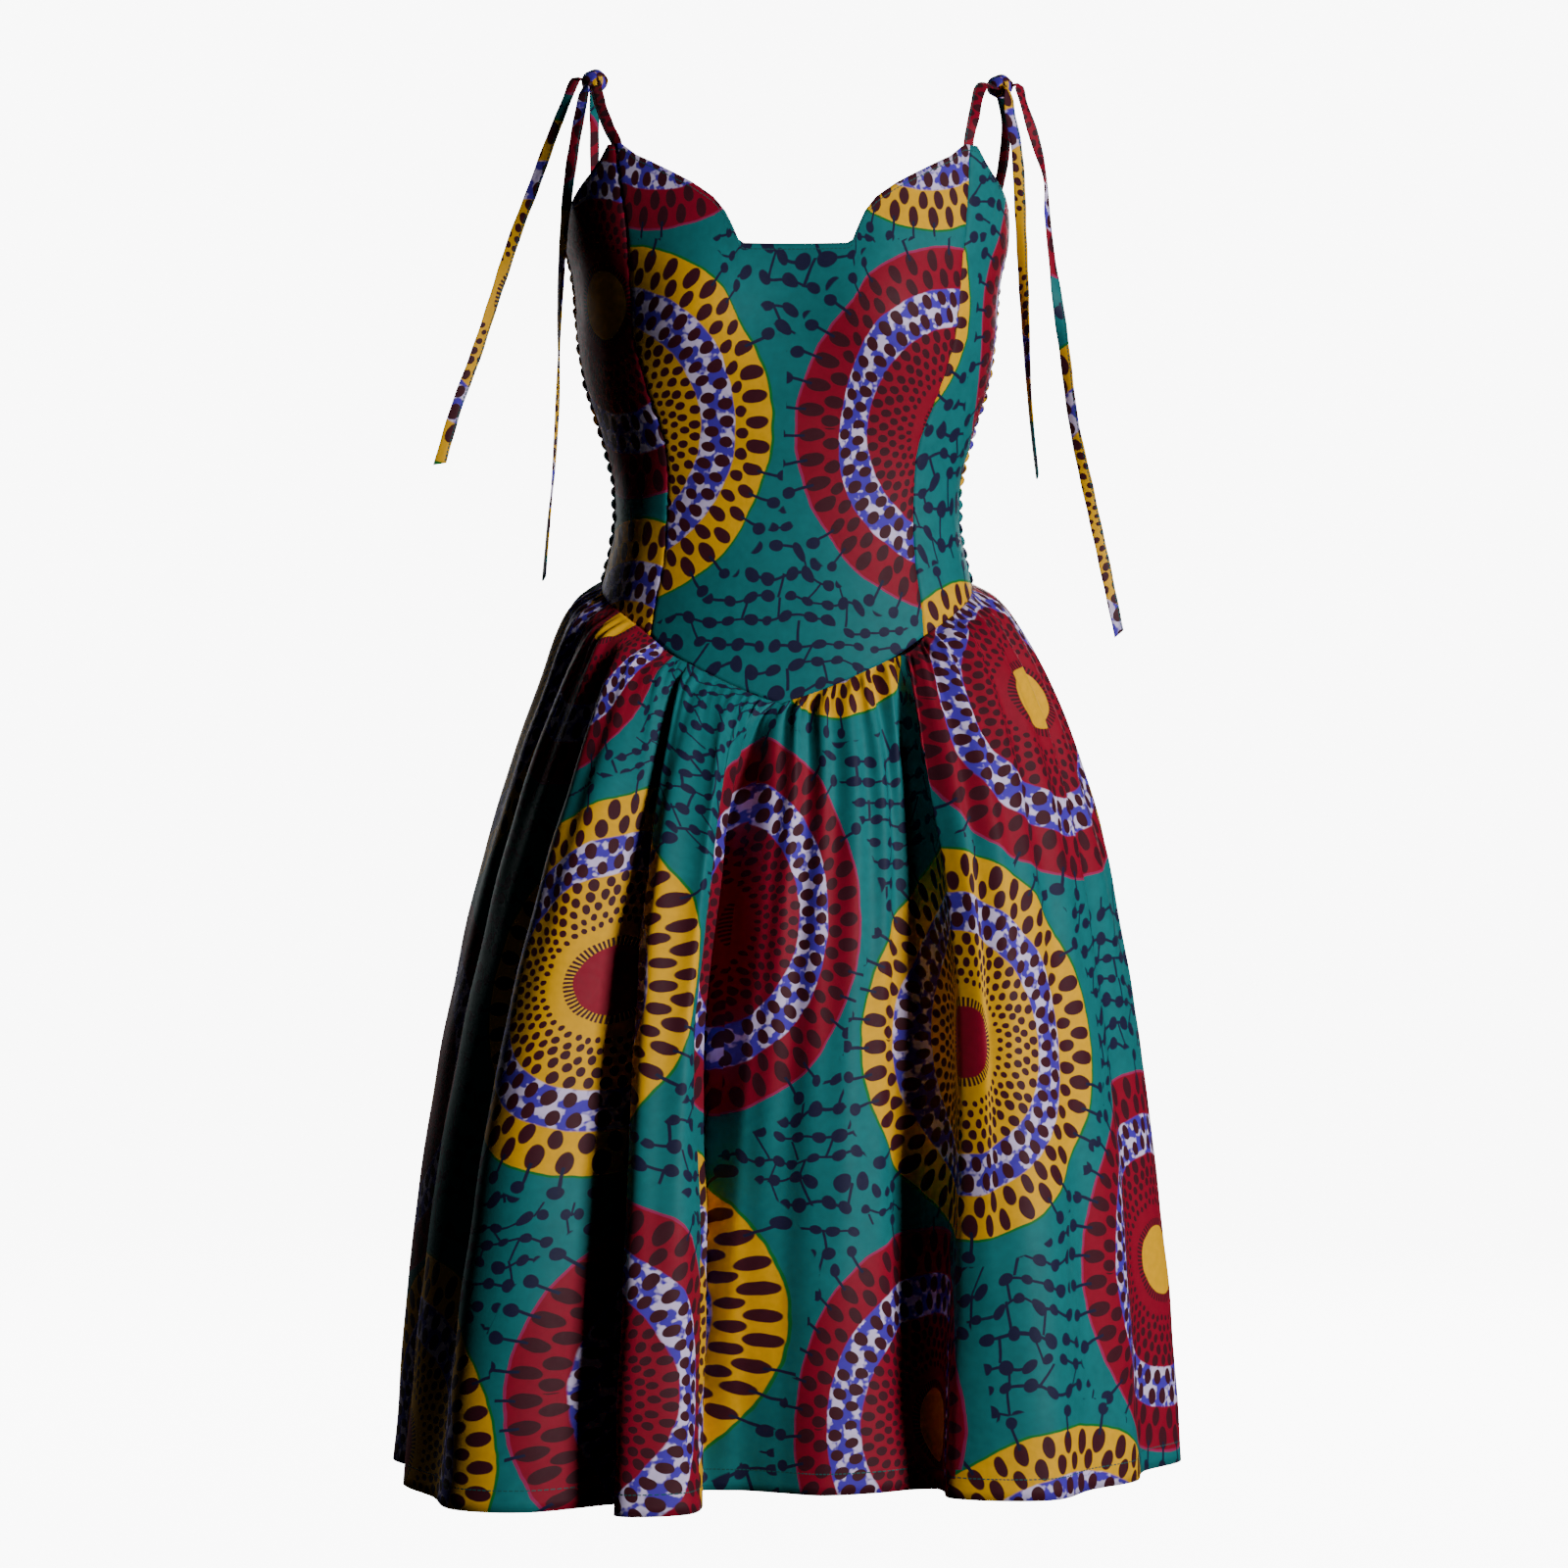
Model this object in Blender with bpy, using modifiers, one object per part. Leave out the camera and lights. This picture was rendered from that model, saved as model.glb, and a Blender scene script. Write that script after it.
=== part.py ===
"""A knee-length sleeveless dress of wax-print cotton, filled out as it is worn.

The bodice has a centre front panel, two side fronts and a back of elastic shirring. A skirt in
two panels is gathered on to its V-shaped waist seam, and four narrow straps are tied in a knot
over each shoulder, with their free ends hanging. Lengths are in metres. The origin is midway
between the shoulders at the height of the knots, the front faces -Y and +Z is up. A drop is a
depth below the origin. A bearing is in degrees round the upright axis: 0 is the centre front,
90 is the +X side and 180 the centre back.
"""

import math

import bmesh
import bpy
from mathutils import Vector

# Thicknesses and gaps
WALL = 0.0015
BACK_WALL = 0.0012
SEAM_GAP = 0.0004

# The bodice: section shape, from the shoulders to the V point
# drop, half width, depth in front, depth behind
BODY = (
    (0.040, 0.1600, 0.0870, 0.0900),
    (0.090, 0.1630, 0.0990, 0.0950),
    (0.120, 0.1628, 0.1055, 0.0980),
    (0.140, 0.1580, 0.1090, 0.0990),
    (0.160, 0.1553, 0.1110, 0.1000),
    (0.190, 0.1530, 0.1120, 0.1000),
    (0.224, 0.1472, 0.1075, 0.0970),
    (0.258, 0.1368, 0.0990, 0.0920),
    (0.293, 0.1278, 0.0920, 0.0880),
    (0.319, 0.1267, 0.0900, 0.0870),
    (0.336, 0.1282, 0.0910, 0.0880),
    (0.362, 0.1340, 0.0940, 0.0920),
    (0.400, 0.1430, 0.0985, 0.0980),
    (0.460, 0.1550, 0.1050, 0.1060),
)
SECTION_POWER = 2.25

# The two cups, as low mounds on the front
CUP_X = 0.072
CUP_DROP = 0.176
CUP_RISE = 0.015
CUP_SPREAD_X = 0.046
CUP_SPREAD_Z = 0.050

# The princess seams: drop, distance from the centre line
PRINCESS_SEAM = (
    (0.0545, 0.1285),
    (0.1335, 0.1208),
    (0.1780, 0.1172),
    (0.1960, 0.1155),
    (0.2340, 0.1047),
    (0.2710, 0.0915),
    (0.3050, 0.0888),
    (0.3520, 0.0905),
    (0.3870, 0.0958),
    (0.4085, 0.0984),
    (0.4600, 0.1050),
)

# How far the worn bodice has turned on its wearer: drop, degrees
TURN = (
    (0.0545, 1.8),
    (0.1300, 3.0),
    (0.2000, 2.8),
    (0.3000, 1.6),
    (0.4085, 0.0),
    (0.4587, -2.6),
)

# The side seams of the bodice: drop, bearing
SIDE_SEAM = (
    (0.120, 92.0),
    (0.240, 88.5),
    (0.310, 85.5),
    (0.370, 88.0),
)
SKIRT_SIDE = 88.0

# The waist seam, from the V point round to the centre back: bearing, drop
WAIST_SEAM = (
    (0.0, 0.4587),
    (12.0, 0.4505),
    (24.0, 0.4410),
    (41.0, 0.4240),
    (52.0, 0.4080),
    (70.0, 0.3860),
    (90.0, 0.3670),
    (120.0, 0.3580),
    (180.0, 0.3560),
)

# The top edges: share of the way across the panel, drop
NECKLINE = (
    (0.000, 0.1325),
    (0.180, 0.1324),
    (0.330, 0.1320),
    (0.364, 0.1294),
    (0.400, 0.1196),
    (0.445, 0.1085),
    (0.515, 0.0974),
    (0.631, 0.0863),
    (0.773, 0.0750),
    (0.904, 0.0640),
    (0.968, 0.0548),
    (1.000, 0.0545),
)
ARMHOLE = (
    (0.000, 0.0545),
    (0.080, 0.0548),
    (0.190, 0.0650),
    (0.300, 0.0733),
    (0.583, 0.0892),
    (0.800, 0.1040),
    (1.000, 0.1205),
)
BACK_TOP = (
    (0.000, 0.1205),
    (0.120, 0.1310),
    (0.500, 0.1370),
    (0.880, 0.1310),
    (1.000, 0.1205),
)
BODICE_ROWS = 15

# The shirring of the back: rows of elastic, each with a ridge of cloth between
SHIRR_RIDGES = 28
SHIRR_RISE = 0.0024
# Shares of the way across at which its columns lie, as far as the middle
SHIRR_COLUMNS = (0.0, 0.035, 0.070, 0.100, 0.135, 0.190, 0.280, 0.385)

# The skirt: a row for each line that runs down a ridge, a slope or a furrow of its folds
# bearing on the waist seam, bearing at the hem, distance of the hem from the axis
FOLD_LINES = (
    (-88.0, -94.0, 0.283),
    (-80.0, -83.0, 0.288),
    (-72.0, -73.0, 0.277),
    (-64.0, -62.0, 0.305),
    (-56.0, -51.5, 0.315),
    (-49.0, -43.0, 0.331),
    (-43.0, -34.5, 0.311),
    (-38.0, -27.0, 0.258),
    (-33.0, -23.7, 0.289),
    (-24.0, -19.5, 0.287),
    (-14.0, -13.6, 0.266),
    (-8.0, -13.6, 0.234),
    (-2.0, -18.0, 0.184),
    (4.0, -12.0, 0.166),
    (12.0, -2.5, 0.175),
    (20.0, 7.0, 0.189),
    (28.0, 18.0, 0.189),
    (35.0, 26.5, 0.189),
    (40.0, 31.0, 0.196),
    (44.0, 27.8, 0.224),
    (51.0, 35.0, 0.256),
    (58.0, 42.5, 0.276),
    (65.0, 52.0, 0.268),
    (72.0, 62.0, 0.277),
    (79.0, 71.0, 0.269),
    (84.0, 81.0, 0.288),
    (88.0, 89.0, 0.284),
    (96.0, 98.0, 0.293),
    (105.0, 107.0, 0.268),
    (113.0, 115.0, 0.290),
    (121.0, 123.5, 0.254),
    (129.0, 131.0, 0.284),
    (136.0, 138.0, 0.270),
    (142.0, 141.5, 0.224),
    (149.0, 147.0, 0.262),
    (157.0, 156.0, 0.257),
    (164.0, 161.5, 0.204),
    (171.0, 168.0, 0.238),
    (180.0, 177.5, 0.246),
    (188.0, 186.0, 0.206),
    (195.0, 193.0, 0.246),
    (203.0, 202.5, 0.262),
    (210.0, 208.0, 0.221),
    (217.0, 214.5, 0.270),
    (225.0, 225.0, 0.281),
    (233.0, 233.0, 0.247),
    (241.0, 241.0, 0.287),
    (249.0, 250.0, 0.272),
    (257.0, 258.0, 0.291),
    (265.0, 263.0, 0.279),
    (272.0, 266.0, 0.283),
)
COLUMNS_PER_FOLD = 3
HEM_DROP = 1.005

# How the skirt spreads: share of the way down, spread, height of a gather, sway towards +X
SKIRT_FLARE = (
    (0.00, 0.000, 0.0000, 0.0000),
    (0.02, 0.125, 0.0022, 0.0004),
    (0.05, 0.205, 0.0042, 0.0018),
    (0.10, 0.303, 0.0052, 0.0046),
    (0.18, 0.435, 0.0050, 0.0060),
    (0.29, 0.578, 0.0042, 0.0058),
    (0.43, 0.710, 0.0030, 0.0036),
    (0.60, 0.835, 0.0018, 0.0016),
    (0.79, 0.932, 0.0007, 0.0004),
    (1.00, 1.000, 0.0000, 0.0000),
)

# The straps: a flat folded strip
STRAP_WIDTH = 0.0086
STRAP_THICKNESS = 0.0016
FRONT_INSET = 0.0030
BACK_INSET = 0.0038
STRAP_LAP = 0.011
STRAP_SEGMENTS = 12
BACK_STRAP_BEARING = 109.0
BACK_STRAP_DROP = 0.129
KNOT_RADII = (0.0092, 0.0072, 0.0078)
KNOT_LEFT = (-0.1415, 0.0000, 0.0010)
KNOT_RIGHT = (0.1565, 0.0040, -0.0020)
KNOT_GAP = 0.0003
TIE_SEGMENTS = 18
TIE_LEAD = 0.004

# The straps between the bodice and the knots: points of the route, and the way the flat faces
FRONT_LEFT_ROUTE = (
    ((-0.1280, -0.0530, -0.0427), (-0.30, -1.0, 0.30)),
    ((-0.1350, -0.0330, -0.0235), (-0.30, -1.0, 0.60)),
)
FRONT_RIGHT_ROUTE = (
    ((0.1350, -0.0470, -0.0330), (0.30, -1.0, 0.30)),
    ((0.1420, -0.0200, -0.0060), (0.20, -0.8, 0.90)),
)
BACK_LEFT_ROUTE = (
    ((-0.1435, 0.0400, -0.0720), (-0.80, 0.6, 0.10)),
    ((-0.1425, 0.0220, -0.0250), (-0.60, 0.8, 0.30)),
)
BACK_RIGHT_ROUTE = (
    ((0.1575, 0.0400, -0.0700), (0.60, 0.8, 0.10)),
    ((0.1625, 0.0240, -0.0270), (0.50, 0.8, 0.20)),
)

# The free ends: where each one leaves its knot, then the points of its route and its flat face
LEFT_OUTER_TIE = (
    ((-1.0, -0.10, 0.15), (0.10, -0.3, 1.00)),
    ((-0.1610, -0.0050, -0.0120), (-0.40, -0.8, 0.50)),
    ((-0.1735, -0.0070, -0.0440), (-0.30, -1.0, 0.10)),
    ((-0.1860, -0.0090, -0.0790), (-0.20, -1.0, 0.00)),
    ((-0.1975, -0.0100, -0.1090), (0.00, -1.0, 0.00)),
    ((-0.2110, -0.0110, -0.1500), (0.40, -1.0, 0.00)),
    ((-0.2270, -0.0120, -0.1990), (0.50, -1.0, 0.00)),
    ((-0.2420, -0.0130, -0.2400), (0.20, -1.0, 0.00)),
    ((-0.2540, -0.0140, -0.2810), (0.10, -1.0, 0.00)),
)
LEFT_INNER_TIE = (
    ((-0.50, -0.80, -0.40), (-0.30, 0.2, 0.90)),
    ((-0.1500, -0.0180, -0.0190), (-0.30, -1.0, 0.30)),
    ((-0.1545, -0.0240, -0.0460), (-0.30, -1.0, 0.00)),
    ((-0.1590, -0.0300, -0.0800), (-0.40, -0.9, 0.00)),
    ((-0.1625, -0.0350, -0.1200), (-0.75, -0.7, 0.00)),
    ((-0.1650, -0.0360, -0.1720), (-0.90, -0.4, 0.00)),
    ((-0.1665, -0.0330, -0.2330), (-1.00, 0.2, 0.00)),
    ((-0.1695, -0.0300, -0.2850), (-1.00, 0.1, 0.00)),
    ((-0.1730, -0.0270, -0.3200), (-1.00, -0.2, 0.00)),
    ((-0.1770, -0.0250, -0.3650), (-1.00, -0.3, 0.00)),
)
RIGHT_INNER_TIE = (
    ((0.45, -0.80, -0.35), (0.40, 0.2, 0.90)),
    ((0.1630, -0.0130, -0.0240), (0.30, -1.0, 0.20)),
    ((0.1670, -0.0180, -0.0460), (0.20, -1.0, 0.00)),
    ((0.1690, -0.0220, -0.0700), (0.10, -1.0, 0.00)),
    ((0.1705, -0.0250, -0.1090), (-0.30, -1.0, 0.00)),
    ((0.1730, -0.0260, -0.1640), (-0.80, -0.9, 0.00)),
    ((0.1760, -0.0260, -0.2240), (-1.00, -0.3, 0.00)),
    ((0.1790, -0.0250, -0.2590), (-1.00, -0.2, 0.00)),
    ((0.1825, -0.0250, -0.2905), (-1.00, -0.1, 0.00)),
)
RIGHT_OUTER_TIE = (
    ((1.0, 0.00, 0.10), (0.00, -0.3, 1.00)),
    ((0.1735, 0.0020, -0.0130), (0.60, -0.6, 0.50)),
    ((0.1815, 0.0010, -0.0390), (0.40, -1.0, 0.10)),
    ((0.1895, 0.0000, -0.0700), (1.00, -0.3, 0.00)),
    ((0.1912, -0.0010, -0.0970), (1.00, -0.6, 0.00)),
    ((0.1950, -0.0020, -0.1330), (0.90, -0.7, 0.00)),
    ((0.2035, -0.0030, -0.1960), (-0.50, -1.0, 0.00)),
    ((0.2105, -0.0040, -0.2500), (-0.60, -1.0, 0.00)),
    ((0.2215, -0.0050, -0.3020), (-0.20, -1.0, 0.00)),
    ((0.2320, -0.0060, -0.3500), (0.20, -1.0, 0.00)),
    ((0.2435, -0.0070, -0.4050), (0.30, -1.0, 0.00)),
)

# Cloth colours: plain stand-ins for the ground and the discs of the print
TEAL = (0.006, 0.190, 0.180, 1.0)
YELLOW = (0.720, 0.370, 0.010, 1.0)
RED = (0.300, 0.006, 0.018, 1.0)


def clear_scene():
    """Removes whatever the file holds."""
    for item in list(bpy.data.objects):
        bpy.data.objects.remove(item)


def reading(table, at, column=1):
    """A smooth value or vector of a table's column, where its first column equals at."""
    if at <= table[0][0]:
        return table[0][column]
    if at >= table[-1][0]:
        return table[-1][column]
    i = max(k for k in range(len(table) - 1) if table[k][0] <= at)
    step = table[i + 1][0] - table[i][0]
    share = (at - table[i][0]) / step

    def slope(k):
        low = max(k - 1, 0)
        high = min(k + 1, len(table) - 1)
        return (table[high][column] - table[low][column]) / (table[high][0] - table[low][0])

    return hermite(table[i][column], table[i + 1][column], slope(i) * step, slope(i + 1) * step, share)


def hermite(start, end, start_slope, end_slope, share):
    """A cubic between two values with the given slopes, for numbers and vectors alike."""
    square = share * share
    cube = square * share
    return (
        start * (2 * cube - 3 * square + 1)
        + start_slope * (cube - 2 * square + share)
        + end * (3 * square - 2 * cube)
        + end_slope * (cube - square)
    )


def straight_reading(table, at):
    """A value read along the straight lines between a table's rows."""
    i = max(k for k in range(len(table) - 1) if table[k][0] <= at)
    share = (at - table[i][0]) / (table[i + 1][0] - table[i][0])
    return table[i][1] + share * (table[i + 1][1] - table[i][1])


def body_point(bearing, drop):
    """The point of the bodice's outer face at a bearing and a drop."""
    turned = math.radians(bearing + reading(TURN, drop))
    across = math.sin(turned)
    along = math.cos(turned)
    half_width = reading(BODY, drop, 1)
    depth = reading(BODY, drop, 2 if along > 0 else 3)
    share = abs(across / half_width) ** SECTION_POWER + abs(along / depth) ** SECTION_POWER
    radius = share ** (-1 / SECTION_POWER)
    x = radius * across
    y = -radius * along
    if along > 0:
        for side in (-1, 1):
            away = ((x - side * CUP_X) / CUP_SPREAD_X) ** 2 + ((drop - CUP_DROP) / CUP_SPREAD_Z) ** 2
            y -= CUP_RISE * math.exp(-away) * min(1.0, 3 * along)
    return Vector((x, y, -drop))


def outward(bearing, drop):
    """The level direction that faces straight out of the bodice at a bearing and a drop."""
    step = 0.5
    along = body_point(bearing + step, drop) - body_point(bearing - step, drop)
    return Vector((-along.y, along.x, 0.0)).normalized() * -1


def princess_bearing(drop):
    """The bearing of the +X princess seam at a drop."""
    x = reading(PRINCESS_SEAM, drop)
    half_width = reading(BODY, drop, 1)
    depth = reading(BODY, drop, 2)
    y = depth * (1 - (x / half_width) ** SECTION_POWER) ** (1 / SECTION_POWER)
    return math.degrees(math.atan2(x, y))


def waist_drop(bearing):
    """The drop of the waist seam at a bearing."""
    turned = abs((bearing + 180) % 360 - 180)
    return reading(WAIST_SEAM, turned)


def column_ends(bearing_at, share, top):
    """The top and bottom drops of a bodice panel's column, which ends on the waist seam."""
    bottom = 0.4
    for _ in range(20):
        bottom = waist_drop(bearing_at(share, bottom))
    return top, bottom


def bodice_grid(bearing_at, shares, top_at, rows):
    """Rows of points down a bodice panel, a column for each share of its width."""
    grid = []
    for k in range(rows + 1):
        line = []
        for share in shares:
            top, bottom = column_ends(bearing_at, share, top_at(share))
            drop = top + (bottom - top) * k / rows
            line.append(body_point(bearing_at(share, drop), drop))
        grid.append(line)
    return grid


def trimmed(grid):
    """The grid with its four edges moved in by half a seam gap."""
    rows = len(grid)
    columns = len(grid[0])
    result = [[point.copy() for point in line] for line in grid]
    for i in range(rows):
        for j in range(columns):
            inner_i = min(max(i, 1), rows - 2)
            inner_j = min(max(j, 1), columns - 2)
            for step in (grid[inner_i][j] - grid[i][j], grid[i][inner_j] - grid[i][j]):
                if step.length > 0:
                    result[i][j] += step.normalized() * SEAM_GAP / 2
    return result


def cloth_material(name, colour):
    """A matt cotton."""
    material = bpy.data.materials.new(name)
    material.use_nodes = True
    shader = material.node_tree.nodes["Principled BSDF"]
    shader.inputs["Base Color"].default_value = colour
    shader.inputs["Roughness"].default_value = 0.75
    shader.inputs["Metallic"].default_value = 0.0
    return material


def mesh_object(name, points, faces, colour, collection):
    """A smooth-shaded object with a material of its own."""
    mesh = bpy.data.meshes.new(name)
    mesh.from_pydata([tuple(point) for point in points], [], faces)
    mesh.validate()
    mesh.shade_smooth()
    mesh.materials.append(cloth_material(name + "_cloth", colour))
    item = bpy.data.objects.new(name, mesh)
    collection.objects.link(item)
    return item


def grid_faces(rows, columns, first=0, flipped=False):
    """The four-cornered faces of a grid of points, row after row."""
    faces = []
    for i in range(rows - 1):
        for j in range(columns - 1):
            corner = first + i * columns + j
            face = (corner, corner + columns, corner + columns + 1, corner + 1)
            faces.append(face[::-1] if flipped else face)
    return faces


def cloth_sheet(name, grid, thickness, colour, collection, centred=False):
    """A panel from the points of its outer face, thickened inwards, or both ways if centred."""
    points = [point for line in grid for point in line]
    item = mesh_object(name, points, grid_faces(len(grid), len(grid[0])), colour, collection)
    wall = item.modifiers.new("Wall", "SOLIDIFY")
    wall.thickness = thickness
    wall.offset = 0.0 if centred else -1.0
    wall.use_even_offset = True
    return item


def cloth_wall(name, outer, inner, colour, collection):
    """A closed wall between two like grids, for cloth that is raised on its outer face only."""
    rows = len(outer)
    columns = len(outer[0])
    points = [point for line in outer + inner for point in line]
    back = rows * columns
    faces = grid_faces(rows, columns) + grid_faces(rows, columns, back, flipped=True)
    rim = [j for j in range(columns)]
    rim += [i * columns + columns - 1 for i in range(1, rows)]
    rim += [(rows - 1) * columns + j for j in range(columns - 2, -1, -1)]
    rim += [i * columns for i in range(rows - 2, 0, -1)]
    for k, corner in enumerate(rim):
        following = rim[(k + 1) % len(rim)]
        faces.append((corner, following, following + back, corner + back))
    return mesh_object(name, points, faces, colour, collection)


def centre_bearing(share, drop):
    """Bearing across the centre front panel: share runs from -1 to 1."""
    return share * princess_bearing(drop)


def side_bearing(share, drop):
    """Bearing across the +X side front: share runs from 0 at the princess seam to 1."""
    inner = princess_bearing(drop)
    return inner + share * (reading(SIDE_SEAM, drop) - inner)


def back_bearing(share, drop):
    """Bearing across the back: share runs from 0 at the +X side seam to 1."""
    side = reading(SIDE_SEAM, drop)
    return side + share * (360 - 2 * side)


def front_centre_panel(collection):
    """The centre front, with the neckline's points as its columns."""
    shares = [-row[0] for row in reversed(NECKLINE)] + [row[0] for row in NECKLINE[1:]]
    grid = bodice_grid(
        centre_bearing, shares, lambda share: straight_reading(NECKLINE, abs(share)), BODICE_ROWS
    )
    return cloth_sheet("front_centre_panel", trimmed(grid), WALL, TEAL, collection)


def side_fronts(collection):
    """The two side fronts, each from its princess seam to its side seam."""
    shares = [row[0] for row in ARMHOLE]

    def top_at(share):
        return straight_reading(ARMHOLE, abs(share))

    def left_bearing(share, drop):
        return -side_bearing(-share, drop)

    left = [-share for share in reversed(shares)]
    right_grid = bodice_grid(side_bearing, shares, top_at, BODICE_ROWS)
    left_grid = bodice_grid(left_bearing, left, top_at, BODICE_ROWS)
    cloth_sheet("side_front_right", trimmed(right_grid), WALL, TEAL, collection)
    cloth_sheet("side_front_left", trimmed(left_grid), WALL, RED, collection)


def back_shirred_panel(collection):
    """The back, plain inside, with a ridge between each two rows of elastic outside."""
    shares = [*SHIRR_COLUMNS, 0.5, *(1 - share for share in reversed(SHIRR_COLUMNS))]
    rows = 2 * SHIRR_RIDGES
    base = trimmed(
        bodice_grid(back_bearing, shares, lambda share: straight_reading(BACK_TOP, share), rows)
    )
    outer = []
    inner = []
    for k, line in enumerate(base):
        rise = SHIRR_RISE * (k % 2)
        ways = [outward(back_bearing(share, -p.z), -p.z) for share, p in zip(shares, line)]
        outer.append([p + way * rise for p, way in zip(line, ways)])
        inner.append([p - way * BACK_WALL for p, way in zip(line, ways)])
    return cloth_wall("back_shirred_panel", outer, inner, TEAL, collection)


def hem_point(row):
    """The point of the hem on a fold line."""
    bearing = math.radians(row[1])
    return Vector((row[2] * math.sin(bearing), -row[2] * math.cos(bearing), 0.0))


def along_folds(values, place):
    """A smooth value round the skirt at a place counted in fold lines."""
    i = int(math.floor(place)) % (len(values) - 1)
    turn = len(values) - 1
    before, start, end, after = (values[(i + k) % turn] for k in (-1, 0, 1, 2))
    return hermite(start, end, (end - before) / 2, (after - start) / 2, place - math.floor(place))


def skirt_column(place):
    """The points down the skirt at a place counted in fold lines."""
    hem = along_folds([hem_point(row) for row in FOLD_LINES], place)
    i = min(int(place), len(FOLD_LINES) - 2)
    start = FOLD_LINES[i][0]
    waist = start + (place - i) * (FOLD_LINES[i + 1][0] - start)
    top = body_point(waist, waist_drop(waist))
    swell = math.sin(math.pi * (place - i)) ** 2
    column = []
    for share, flare, gather, sway in SKIRT_FLARE:
        point = top.lerp(hem, flare)
        way = Vector((point.x, point.y, 0.0)).normalized()
        point += way * gather * (swell - 0.35)
        point.x += sway
        point.z = top.z + (-HEM_DROP - top.z) * share
        column.append(point)
    return column


def skirt_panel(name, first, last, collection):
    """A skirt panel between two fold lines, gathered on to the waist seam."""
    steps = (last - first) * COLUMNS_PER_FOLD
    columns = [skirt_column(first + k / COLUMNS_PER_FOLD) for k in range(steps + 1)]
    grid = [list(line) for line in zip(*columns)]
    return cloth_sheet(name, trimmed(grid), WALL, TEAL, collection)


def ribbon(name, route, faces, segments, colour, collection):
    """A flat strip along a smooth curve through the route, its flat side turned to the faces."""
    table = [(0.0, route[0], faces[0])]
    for point, face in zip(route[1:], faces[1:]):
        table.append((table[-1][0] + (point - table[-1][1]).length, point, face))
    length = table[-1][0]
    grid = []
    for k in range(segments + 1):
        at = length * k / segments
        ahead = reading(table, min(at + 0.001, length)) - reading(table, max(at - 0.001, 0.0))
        half = ahead.cross(reading(table, at, 2)).normalized() * STRAP_WIDTH / 2
        centre = reading(table, at)
        grid.append([centre - half, centre + half])
    cloth_sheet(name, grid, STRAP_THICKNESS, colour, collection, centred=True)


def knot_exit(knot, way):
    """The point just off a knot's surface in a direction from its middle."""
    way = Vector(way).normalized()
    size = math.sqrt(sum((way[k] / KNOT_RADII[k]) ** 2 for k in range(3)))
    return Vector(knot) + way * (1 / size + KNOT_GAP)


def strap(name, knot, edge, middle, colour, collection):
    """A strap from the inside of the bodice's edge up to just short of its knot."""
    bearing, top_drop, inset = edge
    route = []
    faces = []
    for drop in (top_drop + STRAP_LAP, top_drop):
        way = outward(bearing, drop)
        route.append(body_point(bearing, drop) - way * inset)
        faces.append(way)
    for point, face in middle:
        route.append(Vector(point))
        faces.append(Vector(face).normalized())
    route.append(knot_exit(knot, route[-1] - Vector(knot)))
    faces.append(faces[-1])
    ribbon(name, route, faces, STRAP_SEGMENTS, colour, collection)


def tie(name, knot, rows, colour, collection):
    """A free end: the first row is the direction in which it leaves its knot."""
    way, face = rows[0]
    start = knot_exit(knot, way)
    route = [start, start + Vector(way).normalized() * TIE_LEAD]
    route += [Vector(point) for point, _ in rows[1:]]
    faces = [Vector(face).normalized()] + [Vector(face).normalized() for _, face in rows]
    ribbon(name, route, faces, TIE_SEGMENTS, colour, collection)


def knot(name, centre, colour, collection):
    """A tied knot as one tight lump, with the strap's turns raised round it."""
    mesh = bmesh.new()
    bmesh.ops.create_uvsphere(mesh, u_segments=14, v_segments=9, radius=1.0)
    for corner in mesh.verts:
        turn = math.atan2(corner.co.y, corner.co.z)
        groove = 0.94 + 0.06 * math.cos(3 * turn + 4 * corner.co.x)
        corner.co = Vector([corner.co[k] * KNOT_RADII[k] * groove for k in range(3)])
    data = bpy.data.meshes.new(name)
    mesh.to_mesh(data)
    mesh.free()
    data.shade_smooth()
    data.materials.append(cloth_material(name + "_cloth", colour))
    item = bpy.data.objects.new(name, data)
    item.location = centre
    collection.objects.link(item)


def straps_and_ties(collection):
    """The four straps, the two knots and the four free ends."""
    tip = NECKLINE[-1][1]
    tip_bearing = princess_bearing(tip)
    top = BACK_STRAP_DROP
    for side, name, tied, front_route, back_route in (
        (-1, "left", KNOT_LEFT, FRONT_LEFT_ROUTE, BACK_LEFT_ROUTE),
        (1, "right", KNOT_RIGHT, FRONT_RIGHT_ROUTE, BACK_RIGHT_ROUTE),
    ):
        front = (side * tip_bearing, tip, FRONT_INSET)
        back = (side * BACK_STRAP_BEARING, top, BACK_INSET)
        strap("strap_front_" + name, tied, front, front_route, RED, collection)
        strap("strap_back_" + name, tied, back, back_route, RED, collection)
    knot("knot_left", KNOT_LEFT, TEAL, collection)
    knot("knot_right", KNOT_RIGHT, TEAL, collection)
    tie("tie_left_outer", KNOT_LEFT, LEFT_OUTER_TIE, YELLOW, collection)
    tie("tie_left_inner", KNOT_LEFT, LEFT_INNER_TIE, TEAL, collection)
    tie("tie_right_inner", KNOT_RIGHT, RIGHT_INNER_TIE, YELLOW, collection)
    tie("tie_right_outer", KNOT_RIGHT, RIGHT_OUTER_TIE, YELLOW, collection)


def build_dress():
    """Makes every piece in a collection named for the dress."""
    clear_scene()
    collection = bpy.data.collections.new("wax_print_dress")
    bpy.context.scene.collection.children.link(collection)
    front_centre_panel(collection)
    side_fronts(collection)
    back_shirred_panel(collection)
    side_line = [row[0] for row in FOLD_LINES].index(SKIRT_SIDE)
    skirt_panel("skirt_front", 0, side_line, collection)
    skirt_panel("skirt_back", side_line, len(FOLD_LINES) - 1, collection)
    straps_and_ties(collection)


build_dress()
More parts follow.
